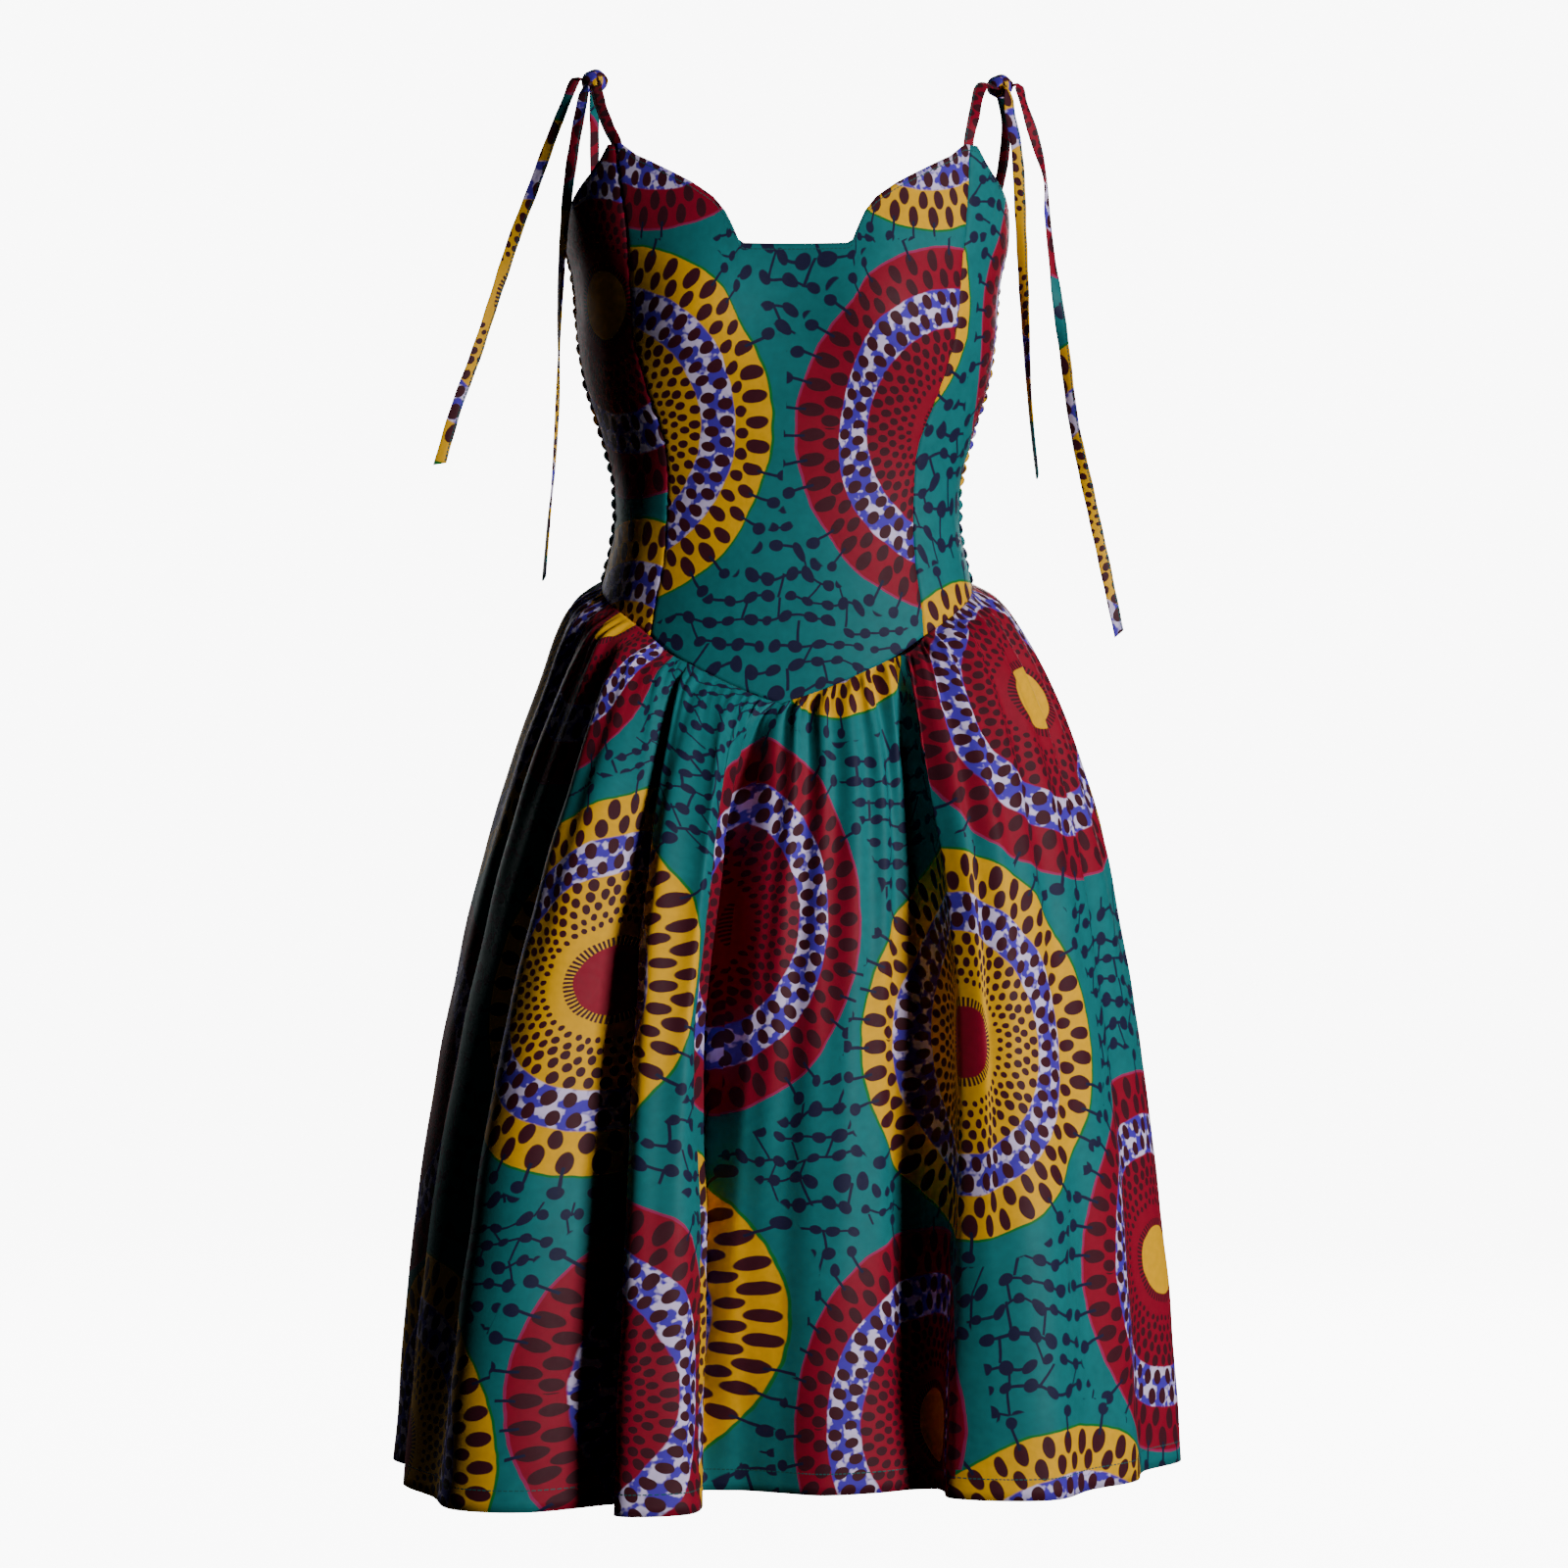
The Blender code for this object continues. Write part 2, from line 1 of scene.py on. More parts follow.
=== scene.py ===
"""A knee-length sleeveless dress of wax-print cotton, filled out as it is worn.

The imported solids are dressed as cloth: a bodice of a centre front, two side fronts and a shirred
back, a skirt in two gathered panels, and four narrow straps tied in a knot over each shoulder.
Lengths are in metres. The front faces -Y and +Z is up. A drop is a depth below the knots, and a
bearing is in degrees round the upright axis from the centre front.
"""

from __future__ import annotations

import logging
import math
from dataclasses import dataclass
from enum import Enum
from typing import Callable, Sequence

import bpy
import numpy as np
from mathutils import Matrix, Vector


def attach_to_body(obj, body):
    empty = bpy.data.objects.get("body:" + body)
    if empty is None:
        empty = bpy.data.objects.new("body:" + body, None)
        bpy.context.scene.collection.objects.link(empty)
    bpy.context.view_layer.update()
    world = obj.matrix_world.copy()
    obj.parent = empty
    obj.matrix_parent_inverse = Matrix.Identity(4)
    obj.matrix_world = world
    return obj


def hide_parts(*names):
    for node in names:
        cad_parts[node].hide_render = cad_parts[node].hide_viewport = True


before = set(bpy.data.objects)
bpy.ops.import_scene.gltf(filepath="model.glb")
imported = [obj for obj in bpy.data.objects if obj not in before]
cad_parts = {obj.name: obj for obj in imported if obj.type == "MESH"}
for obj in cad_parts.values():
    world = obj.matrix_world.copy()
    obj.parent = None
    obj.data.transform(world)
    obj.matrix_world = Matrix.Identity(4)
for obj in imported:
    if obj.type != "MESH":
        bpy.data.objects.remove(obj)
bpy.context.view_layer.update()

log = logging.getLogger("wax_print_dress")

Array = np.ndarray
Row = Sequence[float]
Colour = tuple[float, float, float, float]

BODY_NAME = "root"
MM = 0.001
WHITE: Colour = (1.0, 1.0, 1.0, 1.0)


def unit(way: Array) -> Array:
    """Directions brought to length 1."""
    return way / np.maximum(np.linalg.norm(way, axis=-1, keepdims=True), 1e-12)


def row_lengths(points: Array) -> Array:
    """The distance along each row of points from its first one."""
    step = np.linalg.norm(np.diff(points, axis=1), axis=-1)
    return np.concatenate([np.zeros((len(points), 1)), np.cumsum(step, axis=1)], axis=1)


def hermite(start: Array, end: Array, rise: Array, fall: Array, share: Array) -> Array:
    """A cubic between two values.

    Args:
        start: The value at share 0.
        end: The value at share 1.
        rise: The slope at the start, for a whole step.
        fall: The slope at the end, for a whole step.
        share: How far along, from 0 to 1.

    Returns:
        The value at the share.
    """
    square = share * share
    cube = square * share
    return (
        start * (2 * cube - 3 * square + 1)
        + rise * (cube - 2 * square + share)
        + end * (3 * square - 2 * cube)
        + fall * (cube - square)
    )


@dataclass(frozen=True)
class Pattern:
    """A short table of sizes, read along smooth curves from its first column."""

    rows: tuple[Row, ...]

    def read(self, at: Array, column: int = 1) -> Array:
        """Reads a column smoothly.

        Args:
            at: Places on the first column.
            column: Which column to read.

        Returns:
            The values there, held level past the table's ends.
        """
        place = np.array([row[0] for row in self.rows], float)
        value = np.array([row[column] for row in self.rows], float)
        slope = np.gradient(value, place)
        slope[1:-1] = (value[2:] - value[:-2]) / (place[2:] - place[:-2])
        at = np.clip(at, place[0], place[-1])
        i = np.clip(np.searchsorted(place, at, side="right") - 1, 0, len(place) - 2)
        step = place[i + 1] - place[i]
        return hermite(
            value[i], value[i + 1], slope[i] * step, slope[i + 1] * step, (at - place[i]) / step
        )

    def straight(self, at: Array) -> Array:
        """The second column read along straight lines."""
        return np.interp(at, [row[0] for row in self.rows], [row[1] for row in self.rows])


def curve(*rows: Row) -> Pattern:
    """A pattern from its rows."""
    return Pattern(rows)


@dataclass(frozen=True)
class DressForm:
    """The shape that the bodice is stretched over, with its seam lines."""

    # drop, half width, depth in front, depth behind
    sections: Pattern = curve(
        (0.04, 0.16, 0.087, 0.09), (0.09, 0.163, 0.099, 0.095), (0.12, 0.1628, 0.1055, 0.098),
        (0.14, 0.158, 0.109, 0.099), (0.16, 0.1553, 0.111, 0.1), (0.19, 0.153, 0.112, 0.1),
        (0.224, 0.1472, 0.1075, 0.097), (0.258, 0.1368, 0.099, 0.092), (0.293, 0.1278, 0.092, 0.088),
        (0.319, 0.1267, 0.09, 0.087), (0.336, 0.1282, 0.091, 0.088), (0.362, 0.134, 0.094, 0.092),
        (0.4, 0.143, 0.0985, 0.098), (0.46, 0.155, 0.105, 0.106),
    )
    # drop, distance from the centre line
    princess: Pattern = curve(
        (0.0545, 0.1285), (0.1335, 0.1208), (0.178, 0.1172), (0.196, 0.1155), (0.234, 0.1047),
        (0.271, 0.0915), (0.305, 0.0888), (0.352, 0.0905), (0.387, 0.0958), (0.4085, 0.0984), (0.46, 0.105),
    )
    # drop, degrees that the worn bodice has turned
    turn: Pattern = curve((0.0545, 1.8), (0.13, 3), (0.2, 2.8), (0.3, 1.6), (0.4085, 0), (0.4587, -2.6))
    # drop, bearing
    side_seam: Pattern = curve((0.12, 92.0), (0.24, 88.5), (0.31, 85.5), (0.37, 88.0))
    # bearing, drop
    waist_seam: Pattern = curve(
        (0, 0.4587), (12, 0.4505), (24, 0.441), (41, 0.424), (52, 0.408), (70, 0.386),
        (90, 0.367), (120, 0.358), (180, 0.356),
    )
    power: float = 2.25
    cup_x: float = 0.072
    cup_drop: float = 0.176
    cup_rise: float = 0.015
    cup_spread_x: float = 0.046
    cup_spread_z: float = 0.050

    def point(self, bearing: Array, drop: Array) -> Array:
        """Finds points of the bodice's outer face.

        Args:
            bearing: Bearings in degrees.
            drop: Drops in metres.

        Returns:
            The points, with x, y and z last.
        """
        turned = np.radians(bearing + self.turn.read(drop))
        across = np.sin(turned)
        along = np.cos(turned)
        half = self.sections.read(drop, 1)
        depth = np.where(along > 0, self.sections.read(drop, 2), self.sections.read(drop, 3))
        share = np.abs(across / half) ** self.power + np.abs(along / depth) ** self.power
        radius = share ** (-1 / self.power)
        x = radius * across
        y = -radius * along
        for side in (-1, 1):
            away = ((x - side * self.cup_x) / self.cup_spread_x) ** 2
            away = away + ((drop - self.cup_drop) / self.cup_spread_z) ** 2
            y = y - self.cup_rise * np.exp(-away) * np.clip(3 * along, 0.0, 1.0)
        return np.stack(np.broadcast_arrays(x, y, -drop), axis=-1)

    def outward(self, bearing: Array, drop: Array) -> Array:
        """Finds the level direction straight out of the bodice.

        Args:
            bearing: Bearings in degrees.
            drop: Drops in metres.

        Returns:
            Unit vectors.
        """
        along = self.point(bearing + 0.5, drop) - self.point(bearing - 0.5, drop)
        return unit(np.stack([along[..., 1], -along[..., 0], np.zeros_like(along[..., 0])], axis=-1))

    def princess_bearing(self, drop: Array) -> Array:
        """Finds the +X princess seam.

        Args:
            drop: Drops in metres.

        Returns:
            The seam's bearing at each.
        """
        x = self.princess.read(drop)
        half = self.sections.read(drop, 1)
        y = self.sections.read(drop, 2) * (1 - (x / half) ** self.power) ** (1 / self.power)
        return np.degrees(np.arctan2(x, y))

    def waist_drop(self, bearing: Array) -> Array:
        """The drop of the waist seam at each bearing."""
        return self.waist_seam.read(np.abs((bearing + 180) % 360 - 180))


FORM = DressForm()


class DiscKind(Enum):
    """The two colourings of the print's large discs."""

    YELLOW = 0.0
    RED = 1.0


@dataclass(frozen=True)
class Disc:
    """A disc of the print, by its centre's place in the flat cut.

    The cloth that is tucked away in a deep furrow parts one stretch of a disc from the next, so a
    disc may keep to the cloth between two places across the cut, and may be spread sideways.
    """

    across: float
    up: float
    kind: DiscKind
    start: float = -9.0
    end: float = 9.0
    spread: float = 1.0
    core_width: float = 1.0


YELLOW = DiscKind.YELLOW
RED = DiscKind.RED


@dataclass(frozen=True)
class Furrow:
    """A deep soft furrow down the skirt, beside the ridge that lies over it.

    Places across the skirt are counted in its fold lines.
    """

    # share of the way down, place of the deepest line, depth and the ridge's slide towards +X in mm
    course: Pattern
    ridge: float
    before: float
    after: float
    ridge_width: float = 1.1

    def sink(self, place: Array, down: Array) -> Array:
        """Finds how far the furrow draws each point of the skirt in.

        Args:
            place: Each column's place across.
            down: Each row's share of the way down.

        Returns:
            The depth at each row and column.
        """
        away = place[None, :] - self.course.read(down, 1)[:, None]
        away = away / np.where(away < 0, self.before, self.after)
        return MM * self.course.read(down, 2)[:, None] * np.exp(-away * away)

    def slide(self, place: Array, down: Array) -> Array:
        """Finds how far each point beside the ridge slides towards +X.

        Args:
            place: Each column's place across.
            down: Each row's share of the way down.

        Returns:
            The slide at each row and column.
        """
        away = (place - self.ridge) / self.ridge_width
        return MM * self.course.read(down, 3)[:, None] * np.exp(-(away**4))[None, :]


@dataclass
class ClothGrid:
    """Cloth as rows of points of its outer face, with each point's place in the flat cut.

    Cloth that is gathered also has each point's place measured along it as it hangs.
    """

    points: Array
    flat: Array
    edge: Array
    hung: Array | None = None

    def normals(self) -> Array:
        """The unit vectors that point out of the cloth."""
        return unit(np.cross(np.gradient(self.points, axis=0), np.gradient(self.points, axis=1)))

    def lift(self, rise: Array) -> None:
        """Moves each point out of the cloth by its rise."""
        self.points = self.points + self.normals() * rise[..., None]

    def meet(self, lap: float) -> None:
        """Moves the four edges out, so that sewn pieces meet at each seam.

        Args:
            lap: How far two pieces lap.
        """
        whole = self.points.copy()
        for axis in (0, 1):
            rows = np.moveaxis(whole, axis, 0)
            moved = np.moveaxis(self.points, axis, 0)
            for last, inner in ((0, 1), (-1, -2)):
                moved[last] -= unit(rows[inner] - rows[last]) * lap / 2

    def tuck(self, across: float, inward: float) -> None:
        """Turns both upright edges in, so that each passes under the next piece at its seam.

        Args:
            across: How far an edge passes under.
            inward: How deep it lies.
        """
        normals = self.normals()
        for last, inner in ((0, 1), (-1, -2)):
            step = unit(self.points[:, last] - self.points[:, inner])
            self.points[:, last] += step * across - normals[:, inner] * inward


def grid_faces(rows: int, columns: int) -> Array:
    """Four-cornered faces between rows of points.

    Args:
        rows: How many rows.
        columns: How many points in each.

    Returns:
        The corners of each face, facing out of a piece whose rows run down it.
    """
    corner = (np.arange(rows - 1)[:, None] * columns + np.arange(columns - 1)[None, :]).ravel()
    return np.stack([corner, corner + columns, corner + columns + 1, corner + 1], axis=1)


def rim_of(rows: int, columns: int) -> Array:
    """Goes round the edge of a grid.

    Args:
        rows: How many rows.
        columns: How many points in each.

    Returns:
        The edge points in order.
    """
    top = np.arange(columns)
    right = np.arange(1, rows) * columns + columns - 1
    foot = (rows - 1) * columns + np.arange(columns - 2, -1, -1)
    left = np.arange(rows - 2, 0, -1) * columns
    return np.concatenate([top, right, foot, left])


@dataclass(frozen=True)
class PrintCut:
    """Where a cut lies on the printed cloth, as the discs that fall on it."""

    discs: tuple[Disc, ...]
    radius: float = 0.137

    def places(self, flat: Array, faces: Array) -> tuple[Array, Array]:
        """Finds each face's place on its nearest disc.

        Args:
            flat: The place of each point in the cut.
            faces: The corners of each face.

        Returns:
            For each corner its place from the disc's centre in radii, and each face's kind.
        """
        middle = flat[faces].mean(axis=1)
        centres = np.array([(disc.across, disc.up) for disc in self.discs])
        sizes = np.array([(disc.spread, 1.0) for disc in self.discs]) * self.radius
        kinds = np.array([disc.kind.value for disc in self.discs])
        away = np.linalg.norm((middle[:, None, :] - centres[None]) / sizes[None], axis=-1)
        for k, disc in enumerate(self.discs):
            away[(middle[:, 0] < disc.start) | (middle[:, 0] > disc.end), k] += 50.0
        nearest = away.argmin(axis=1)
        local = (flat[faces] - centres[nearest][:, None, :]) / sizes[nearest][:, None, :]
        widths = np.array([disc.core_width for disc in self.discs])[nearest][:, None]
        narrow = 1 - (1 - 1 / widths) * np.exp(-((np.linalg.norm(local, axis=-1) / 0.34) ** 2))
        local[..., 0] *= narrow
        return local.reshape(-1, 2), kinds[nearest]


def cloth_object(
    name: str, points: Array, faces: Array, flat: Array, hung: Array, edge: Array, cut: PrintCut,
    finish: bpy.types.Material,
) -> bpy.types.Object:
    """Makes a smooth mesh with its places on the cloth.

    Args:
        name: The piece's name.
        points: Its points.
        faces: The corners of each face.
        flat: The place of each point in the flat cut.
        hung: The place of each point along the cloth as it hangs.
        edge: Each point's distance along and from its stitched edge.
        cut: Where the cut lies on the printed cloth.
        finish: Its material.

    Returns:
        The piece, in the scene.
    """
    mesh = bpy.data.meshes.new(name)
    mesh.from_pydata(points.tolist(), [], faces.tolist())
    local, kinds = cut.places(flat, faces)
    corners = faces.ravel()
    for label, values in (("cloth", hung[corners]), ("disc", local), ("edge", edge[corners])):
        layer = mesh.uv_layers.new(name=label)
        layer.data.foreach_set("uv", values.astype(np.float32).ravel())
    kind = mesh.attributes.new("disc_kind", "FLOAT", "FACE")
    kind.data.foreach_set("value", kinds.astype(np.float32))
    mesh.shade_smooth()
    mesh.materials.append(finish)
    piece = bpy.data.objects.new(name, mesh)
    bpy.context.scene.collection.objects.link(piece)
    return piece


def cloth_wall(
    name: str, grid: ClothGrid, thickness: float | Array, cut: PrintCut, finish: bpy.types.Material
) -> bpy.types.Object:
    """Makes a closed wall of cloth from its outer face.

    Args:
        name: The piece's name.
        grid: The outer face.
        thickness: The wall, for the whole piece or for each point.
        cut: Where the cut lies on the printed cloth.
        finish: Its material.

    Returns:
        The piece, in the scene.
    """
    rows, columns = grid.points.shape[:2]
    outer = grid.points.reshape(-1, 3)
    depth = np.broadcast_to(np.asarray(thickness, float), (rows, columns)).reshape(-1, 1)
    inner = outer - grid.normals().reshape(-1, 3) * depth
    back = rows * columns
    face = grid_faces(rows, columns)
    rim = rim_of(rows, columns)
    after = np.roll(rim, -1)
    sides = np.stack([rim, after, after + back, rim + back], axis=1)
    faces = np.concatenate([face, face[:, ::-1] + back, sides])
    flat = np.tile(grid.flat.reshape(-1, 2), (2, 1))
    edge = np.tile(grid.edge.reshape(-1, 2), (2, 1))
    hung = flat if grid.hung is None else np.tile(grid.hung.reshape(-1, 2), (2, 1))
    return cloth_object(name, np.concatenate([outer, inner]), faces, flat, hung, edge, cut, finish)


def attach(piece: bpy.types.Object, node: str) -> None:
    """Lets a piece stand for a solid, and hides the solid.

    Args:
        piece: The piece.
        node: The solid that it stands for.
    """
    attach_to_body(piece, BODY_NAME)
    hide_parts(node)


def paint(red: float, green: float, blue: float) -> Colour:
    """A colour as light, from its screen values of 0 to 255."""
    return (*(((v / 255 + 0.055) / 1.055) ** 2.4 if v > 10 else v / 3294 for v in (red, green, blue)), 1.0)


@dataclass(frozen=True)
class Wire:
    """A number that runs through a material's nodes, with its arithmetic written as usual."""

    bench: "NodeBench"
    socket: bpy.types.NodeSocket

    def __add__(self, other: Amount) -> Wire:
        """The sum of two numbers."""
        return self.bench.maths("ADD", self, other)

    def __sub__(self, other: Amount) -> Wire:
        """One number less another."""
        return self.bench.maths("SUBTRACT", self, other)

    def __mul__(self, other: Amount) -> Wire:
        """The product of two numbers."""
        return self.bench.maths("MULTIPLY", self, other)

    def whole(self) -> Wire:
        """The whole number at or below this one."""
        return self.bench.maths("FLOOR", self)

    def size(self) -> Wire:
        """The number without its sign."""
        return self.bench.maths("ABSOLUTE", self)

    def most(self, other: Amount) -> Wire:
        """The larger of two numbers."""
        return self.bench.maths("MAXIMUM", self, other)

    def fades(self, full: float, none: float) -> Wire:
        """Turns the number into a soft mask.

        Args:
            full: Where the mask is 1.
            none: Where it has come to 0.

        Returns:
            The mask.
        """
        node = self.bench.node("ShaderNodeMapRange")
        node.interpolation_type = "SMOOTHSTEP"
        self.bench.feed(node.inputs["Value"], self)
        node.inputs["From Min"].default_value = full
        node.inputs["From Max"].default_value = none
        node.inputs["To Min"].default_value = 1.0
        node.inputs["To Max"].default_value = 0.0
        return Wire(self.bench, node.outputs["Result"])


Amount = Wire | float
Thirds = tuple[Wire, Wire, Wire]


class NodeBench:
    """A material's nodes, with short calls for those that a cloth needs."""

    def __init__(self, name: str) -> None:
        """Starts a material with its shader and output."""
        self.material = bpy.data.materials.new(name)
        self.material.use_nodes = True
        self.tree = self.material.node_tree
        self.shader = self.tree.nodes["Principled BSDF"]

    def node(self, kind: str) -> bpy.types.Node:
        """A new node of a kind."""
        return self.tree.nodes.new(kind)

    def feed(self, socket: bpy.types.NodeSocket, value: Amount) -> None:
        """Sets a socket to a number, or joins it to a wire.

        Args:
            socket: The socket.
            value: The number or the wire.
        """
        if isinstance(value, Wire):
            self.tree.links.new(value.socket, socket)
        else:
            socket.default_value = value

    def maths(self, operation: str, *values: Amount) -> Wire:
        """A Math node.

        Args:
            operation: Which one.
            values: What it works on.

        Returns:
            Its result.
        """
        node = self.node("ShaderNodeMath")
        node.operation = operation
        for socket, value in zip(node.inputs, values):
            self.feed(socket, value)
        return Wire(self, node.outputs[0])

    def pair(self, layer: str) -> tuple[Wire, Wire]:
        """Reads one of the mesh's maps.

        Args:
            layer: Its name.

        Returns:
            Its two numbers.
        """
        source = self.node("ShaderNodeUVMap")
        source.uv_map = layer
        split = self.node("ShaderNodeSeparateXYZ")
        self.tree.links.new(source.outputs["UV"], split.inputs[0])
        return Wire(self, split.outputs[0]), Wire(self, split.outputs[1])

    def vector(self, x: Amount, y: Amount, z: Amount = 0.0) -> bpy.types.NodeSocket:
        """Joins three numbers.

        Args:
            x: The first.
            y: The second.
            z: The third.

        Returns:
            The vector.
        """
        node = self.node("ShaderNodeCombineXYZ")
        for socket, value in zip(node.inputs, (x, y, z)):
            self.feed(socket, value)
        return node.outputs[0]

    def noise(self, at: bpy.types.NodeSocket, scale: float, detail: float = 1.0) -> Thirds:
        """Smooth noise.

        Args:
            at: Where it is read.
            scale: How many lumps there are to a unit.
            detail: How many finer layers it has.

        Returns:
            Three numbers that vary apart from each other, each about 0.5.
        """
        node = self.node("ShaderNodeTexNoise")
        node.inputs["Scale"].default_value = scale
        node.inputs["Detail"].default_value = detail
        return self.thirds(node, at)

    def chance(self, first: Amount, second: Amount) -> Thirds:
        """Draws chance numbers from 0 to 1.

        Args:
            first: A whole number.
            second: Another.

        Returns:
            Three chance numbers that belong to that pair.
        """
        node = self.node("ShaderNodeTexWhiteNoise")
        node.noise_dimensions = "2D"
        return self.thirds(node, self.vector(first, second))

    def thirds(self, node: bpy.types.Node, at: bpy.types.NodeSocket) -> Thirds:
        """Reads a noise node.

        Args:
            node: The node.
            at: Where it is read.

        Returns:
            The three numbers of its colour.
        """
        self.tree.links.new(at, node.inputs["Vector"])
        split = self.node("ShaderNodeSeparateColor")
        self.tree.links.new(node.outputs["Color"], split.inputs[0])
        return tuple(Wire(self, split.outputs[k]) for k in range(3))

    def blend(self, mask: Wire, under: object, over: object) -> bpy.types.NodeSocket:
        """Lays one colour over another.

        Args:
            mask: Where the upper one shows.
            under: The lower colour, as a socket or as numbers.
            over: The upper colour.

        Returns:
            The mixed colour.
        """
        node = self.node("ShaderNodeMix")
        node.data_type = "RGBA"
        self.feed(node.inputs["Factor"], mask)
        for socket, colour in ((node.inputs[6], under), (node.inputs[7], over)):
            if isinstance(colour, bpy.types.NodeSocket):
                self.tree.links.new(colour, socket)
            else:
                socket.default_value = colour
        return node.outputs[2]


@dataclass(frozen=True)
class PrintColours:
    """The dyes of the print."""

    ground: Colour = paint(14, 114, 117)
    ground_deep: Colour = paint(12, 101, 104)
    yellow: Colour = paint(226, 166, 0)
    red: Colour = paint(138, 8, 38)
    brown: Colour = paint(63, 18, 30)
    navy: Colour = paint(26, 27, 58)
    lilac: Colour = paint(214, 198, 236)
    violet: Colour = paint(70, 44, 172)
    leaf: Colour = paint(18, 112, 44)
    rose: Colour = paint(150, 36, 84)


@dataclass(frozen=True)
class DotRow:
    """A ring of dots in a disc, with sizes in radii of the disc."""

    ring: float
    tall: float
    wide: float
    shift: float = 0.0
    count: int = 44


@dataclass(frozen=True)
class WaxPrint:
    """The finish of the printed cotton, with its discs, its dotted ground and its weave."""

    name: str
    colours: PrintColours = PrintColours()
    roughness: float = 0.62
    rows: tuple[DotRow, ...] = (
        DotRow(0.925, 0.062, 0.035), DotRow(0.825, 0.052, 0.032, 0.5), DotRow(0.715, 0.044, 0.031),
        DotRow(0.62, 0.04, 0.028, 0.5), DotRow(0.535, 0.031, 0.024), DotRow(0.472, 0.028, 0.021, 0.5),
        DotRow(0.415, 0.024, 0.018), DotRow(0.362, 0.02, 0.0155, 0.5), DotRow(0.312, 0.016, 0.0125),
    )
    core: float = 0.18
    ticks: float = 60.0
    tick_ring: float = 0.200
    lilac_ring: float = 0.6685
    lilac_half: float = 0.0965
    stem_ring: float = 1.015
    bead_ring: float = 1.088
    waver: float = 0.022
    row_height: float = 0.0170
    dot_step: float = 0.0155
    dot_tall: float = 0.0043
    dot_wide: float = 0.0050
    post_step: float = 0.027
    thread_step: float = 0.00075
    stitch_step: float = 0.0030

    def dots(self, bench: NodeBench, rho: Wire, turns: Wire, row: DotRow) -> Thirds:
        """Draws one ring of dots.

        Args:
            bench: The material's nodes.
            rho: Distance from the disc's centre, in radii.
            turns: The way round the disc, in turns.
            row: The ring.

        Returns:
            The mask of the dots, the distance aside from the nearest one in radii, and its luck.
        """
        cell = turns * row.count + (row.shift + 0.25)
        step = cell.whole()
        first, second, third = bench.chance(step, row.ring * 40.0)
        aside = (cell - step - 0.5 + (first - 0.5) * 0.16) * (math.tau * row.ring / row.count)
        along = rho - row.ring + (second - 0.5) * 0.014
        tall = along * (1 / row.tall)
        wide = aside * (1 / row.wide)
        spread = tall * tall + wide * wide + (third - 0.5) * 0.3
        return spread.fades(0.86, 1.14), aside, first

    def network(self, bench: NodeBench, across: Wire, up: Wire) -> Wire:
        """Draws the chains of dots on the ground, with the lines that join them.

        Args:
            bench: The material's nodes.
            across: Place across the cut.
            up: Place up the cut.

        Returns:
            The mask of the dots and lines.
        """
        wave, lean, _ = bench.noise(bench.vector(across, up), 11.0, 1.0)
        height = (up + (wave - 0.5) * 0.050) * (1 / self.row_height)
        row = height.whole()
        shift, _, _ = bench.chance(row, 3.0)
        place = (across + (lean - 0.5) * 0.030) * (1 / self.dot_step) + shift * 7.0
        column = place.whole()
        wander, _, _ = bench.noise(bench.vector(place * 0.62, row * 7.31), 1.0, 0.0)
        level = (height - row - 0.5) * self.row_height + (wander - 0.5) * 0.016
        size, skew, _ = bench.chance(column, row)
        aside = (place - column - 0.5 + (skew - 0.5) * 0.34) * self.dot_step
        tall = level * (1 / self.dot_tall)
        wide = aside * (1 / self.dot_wide)
        spread = tall * tall + wide * wide + (size - 0.5) * 0.7
        dot = spread.fades(0.88, 1.15)
        between = (place + 0.5).whole()
        joined, _, _ = bench.chance(between, row * 1.7 + 5.0)
        chain = level.size().fades(0.0008, 0.0012) * joined.fades(0.80, 0.81)
        lower = (height + 0.5).whole()
        offset, _, _ = bench.chance(lower, 9.0)
        span = across * (1 / self.post_step) + (lean - 0.5) * 1.4 + offset * 5.0
        post = span.whole()
        slope, there, _ = bench.chance(post, lower)
        rise = height - lower
        away = (span - post - 0.5 - rise * (slope - 0.5) * 0.9) * self.post_step
        link = away.size().fades(0.0008, 0.0012) * there.fades(0.58, 0.59)
        return dot.most(chain).most(link)

    def weave(self, bench: NodeBench, across: Wire, up: Wire) -> Wire:
        """Makes the crossing threads, with the slight unevenness of the yarn.

        Args:
            bench: The material's nodes.
            across: Place across the cut.
            up: Place up the cut.

        Returns:
            The height of the threads.
        """
        warp = bench.maths("SINE", across * (math.tau / self.thread_step))
        weft = bench.maths("SINE", up * (math.tau / self.thread_step))
        slub, _, _ = bench.noise(bench.vector(across * 0.25, up), 900.0, 2.0)
        return warp * weft * 0.35 + slub

    def stitches(self, bench: NodeBench) -> Wire:
        """Draws the machine stitches beside a finished edge.

        Args:
            bench: The material's nodes.

        Returns:
            Their mask.
        """
        along, away = bench.pair("edge")
        cell = along * (1 / self.stitch_step)
        dash = (cell - cell.whole() - 0.5).size().fades(0.33, 0.40)
        return away.size().fades(0.00032, 0.00050) * dash

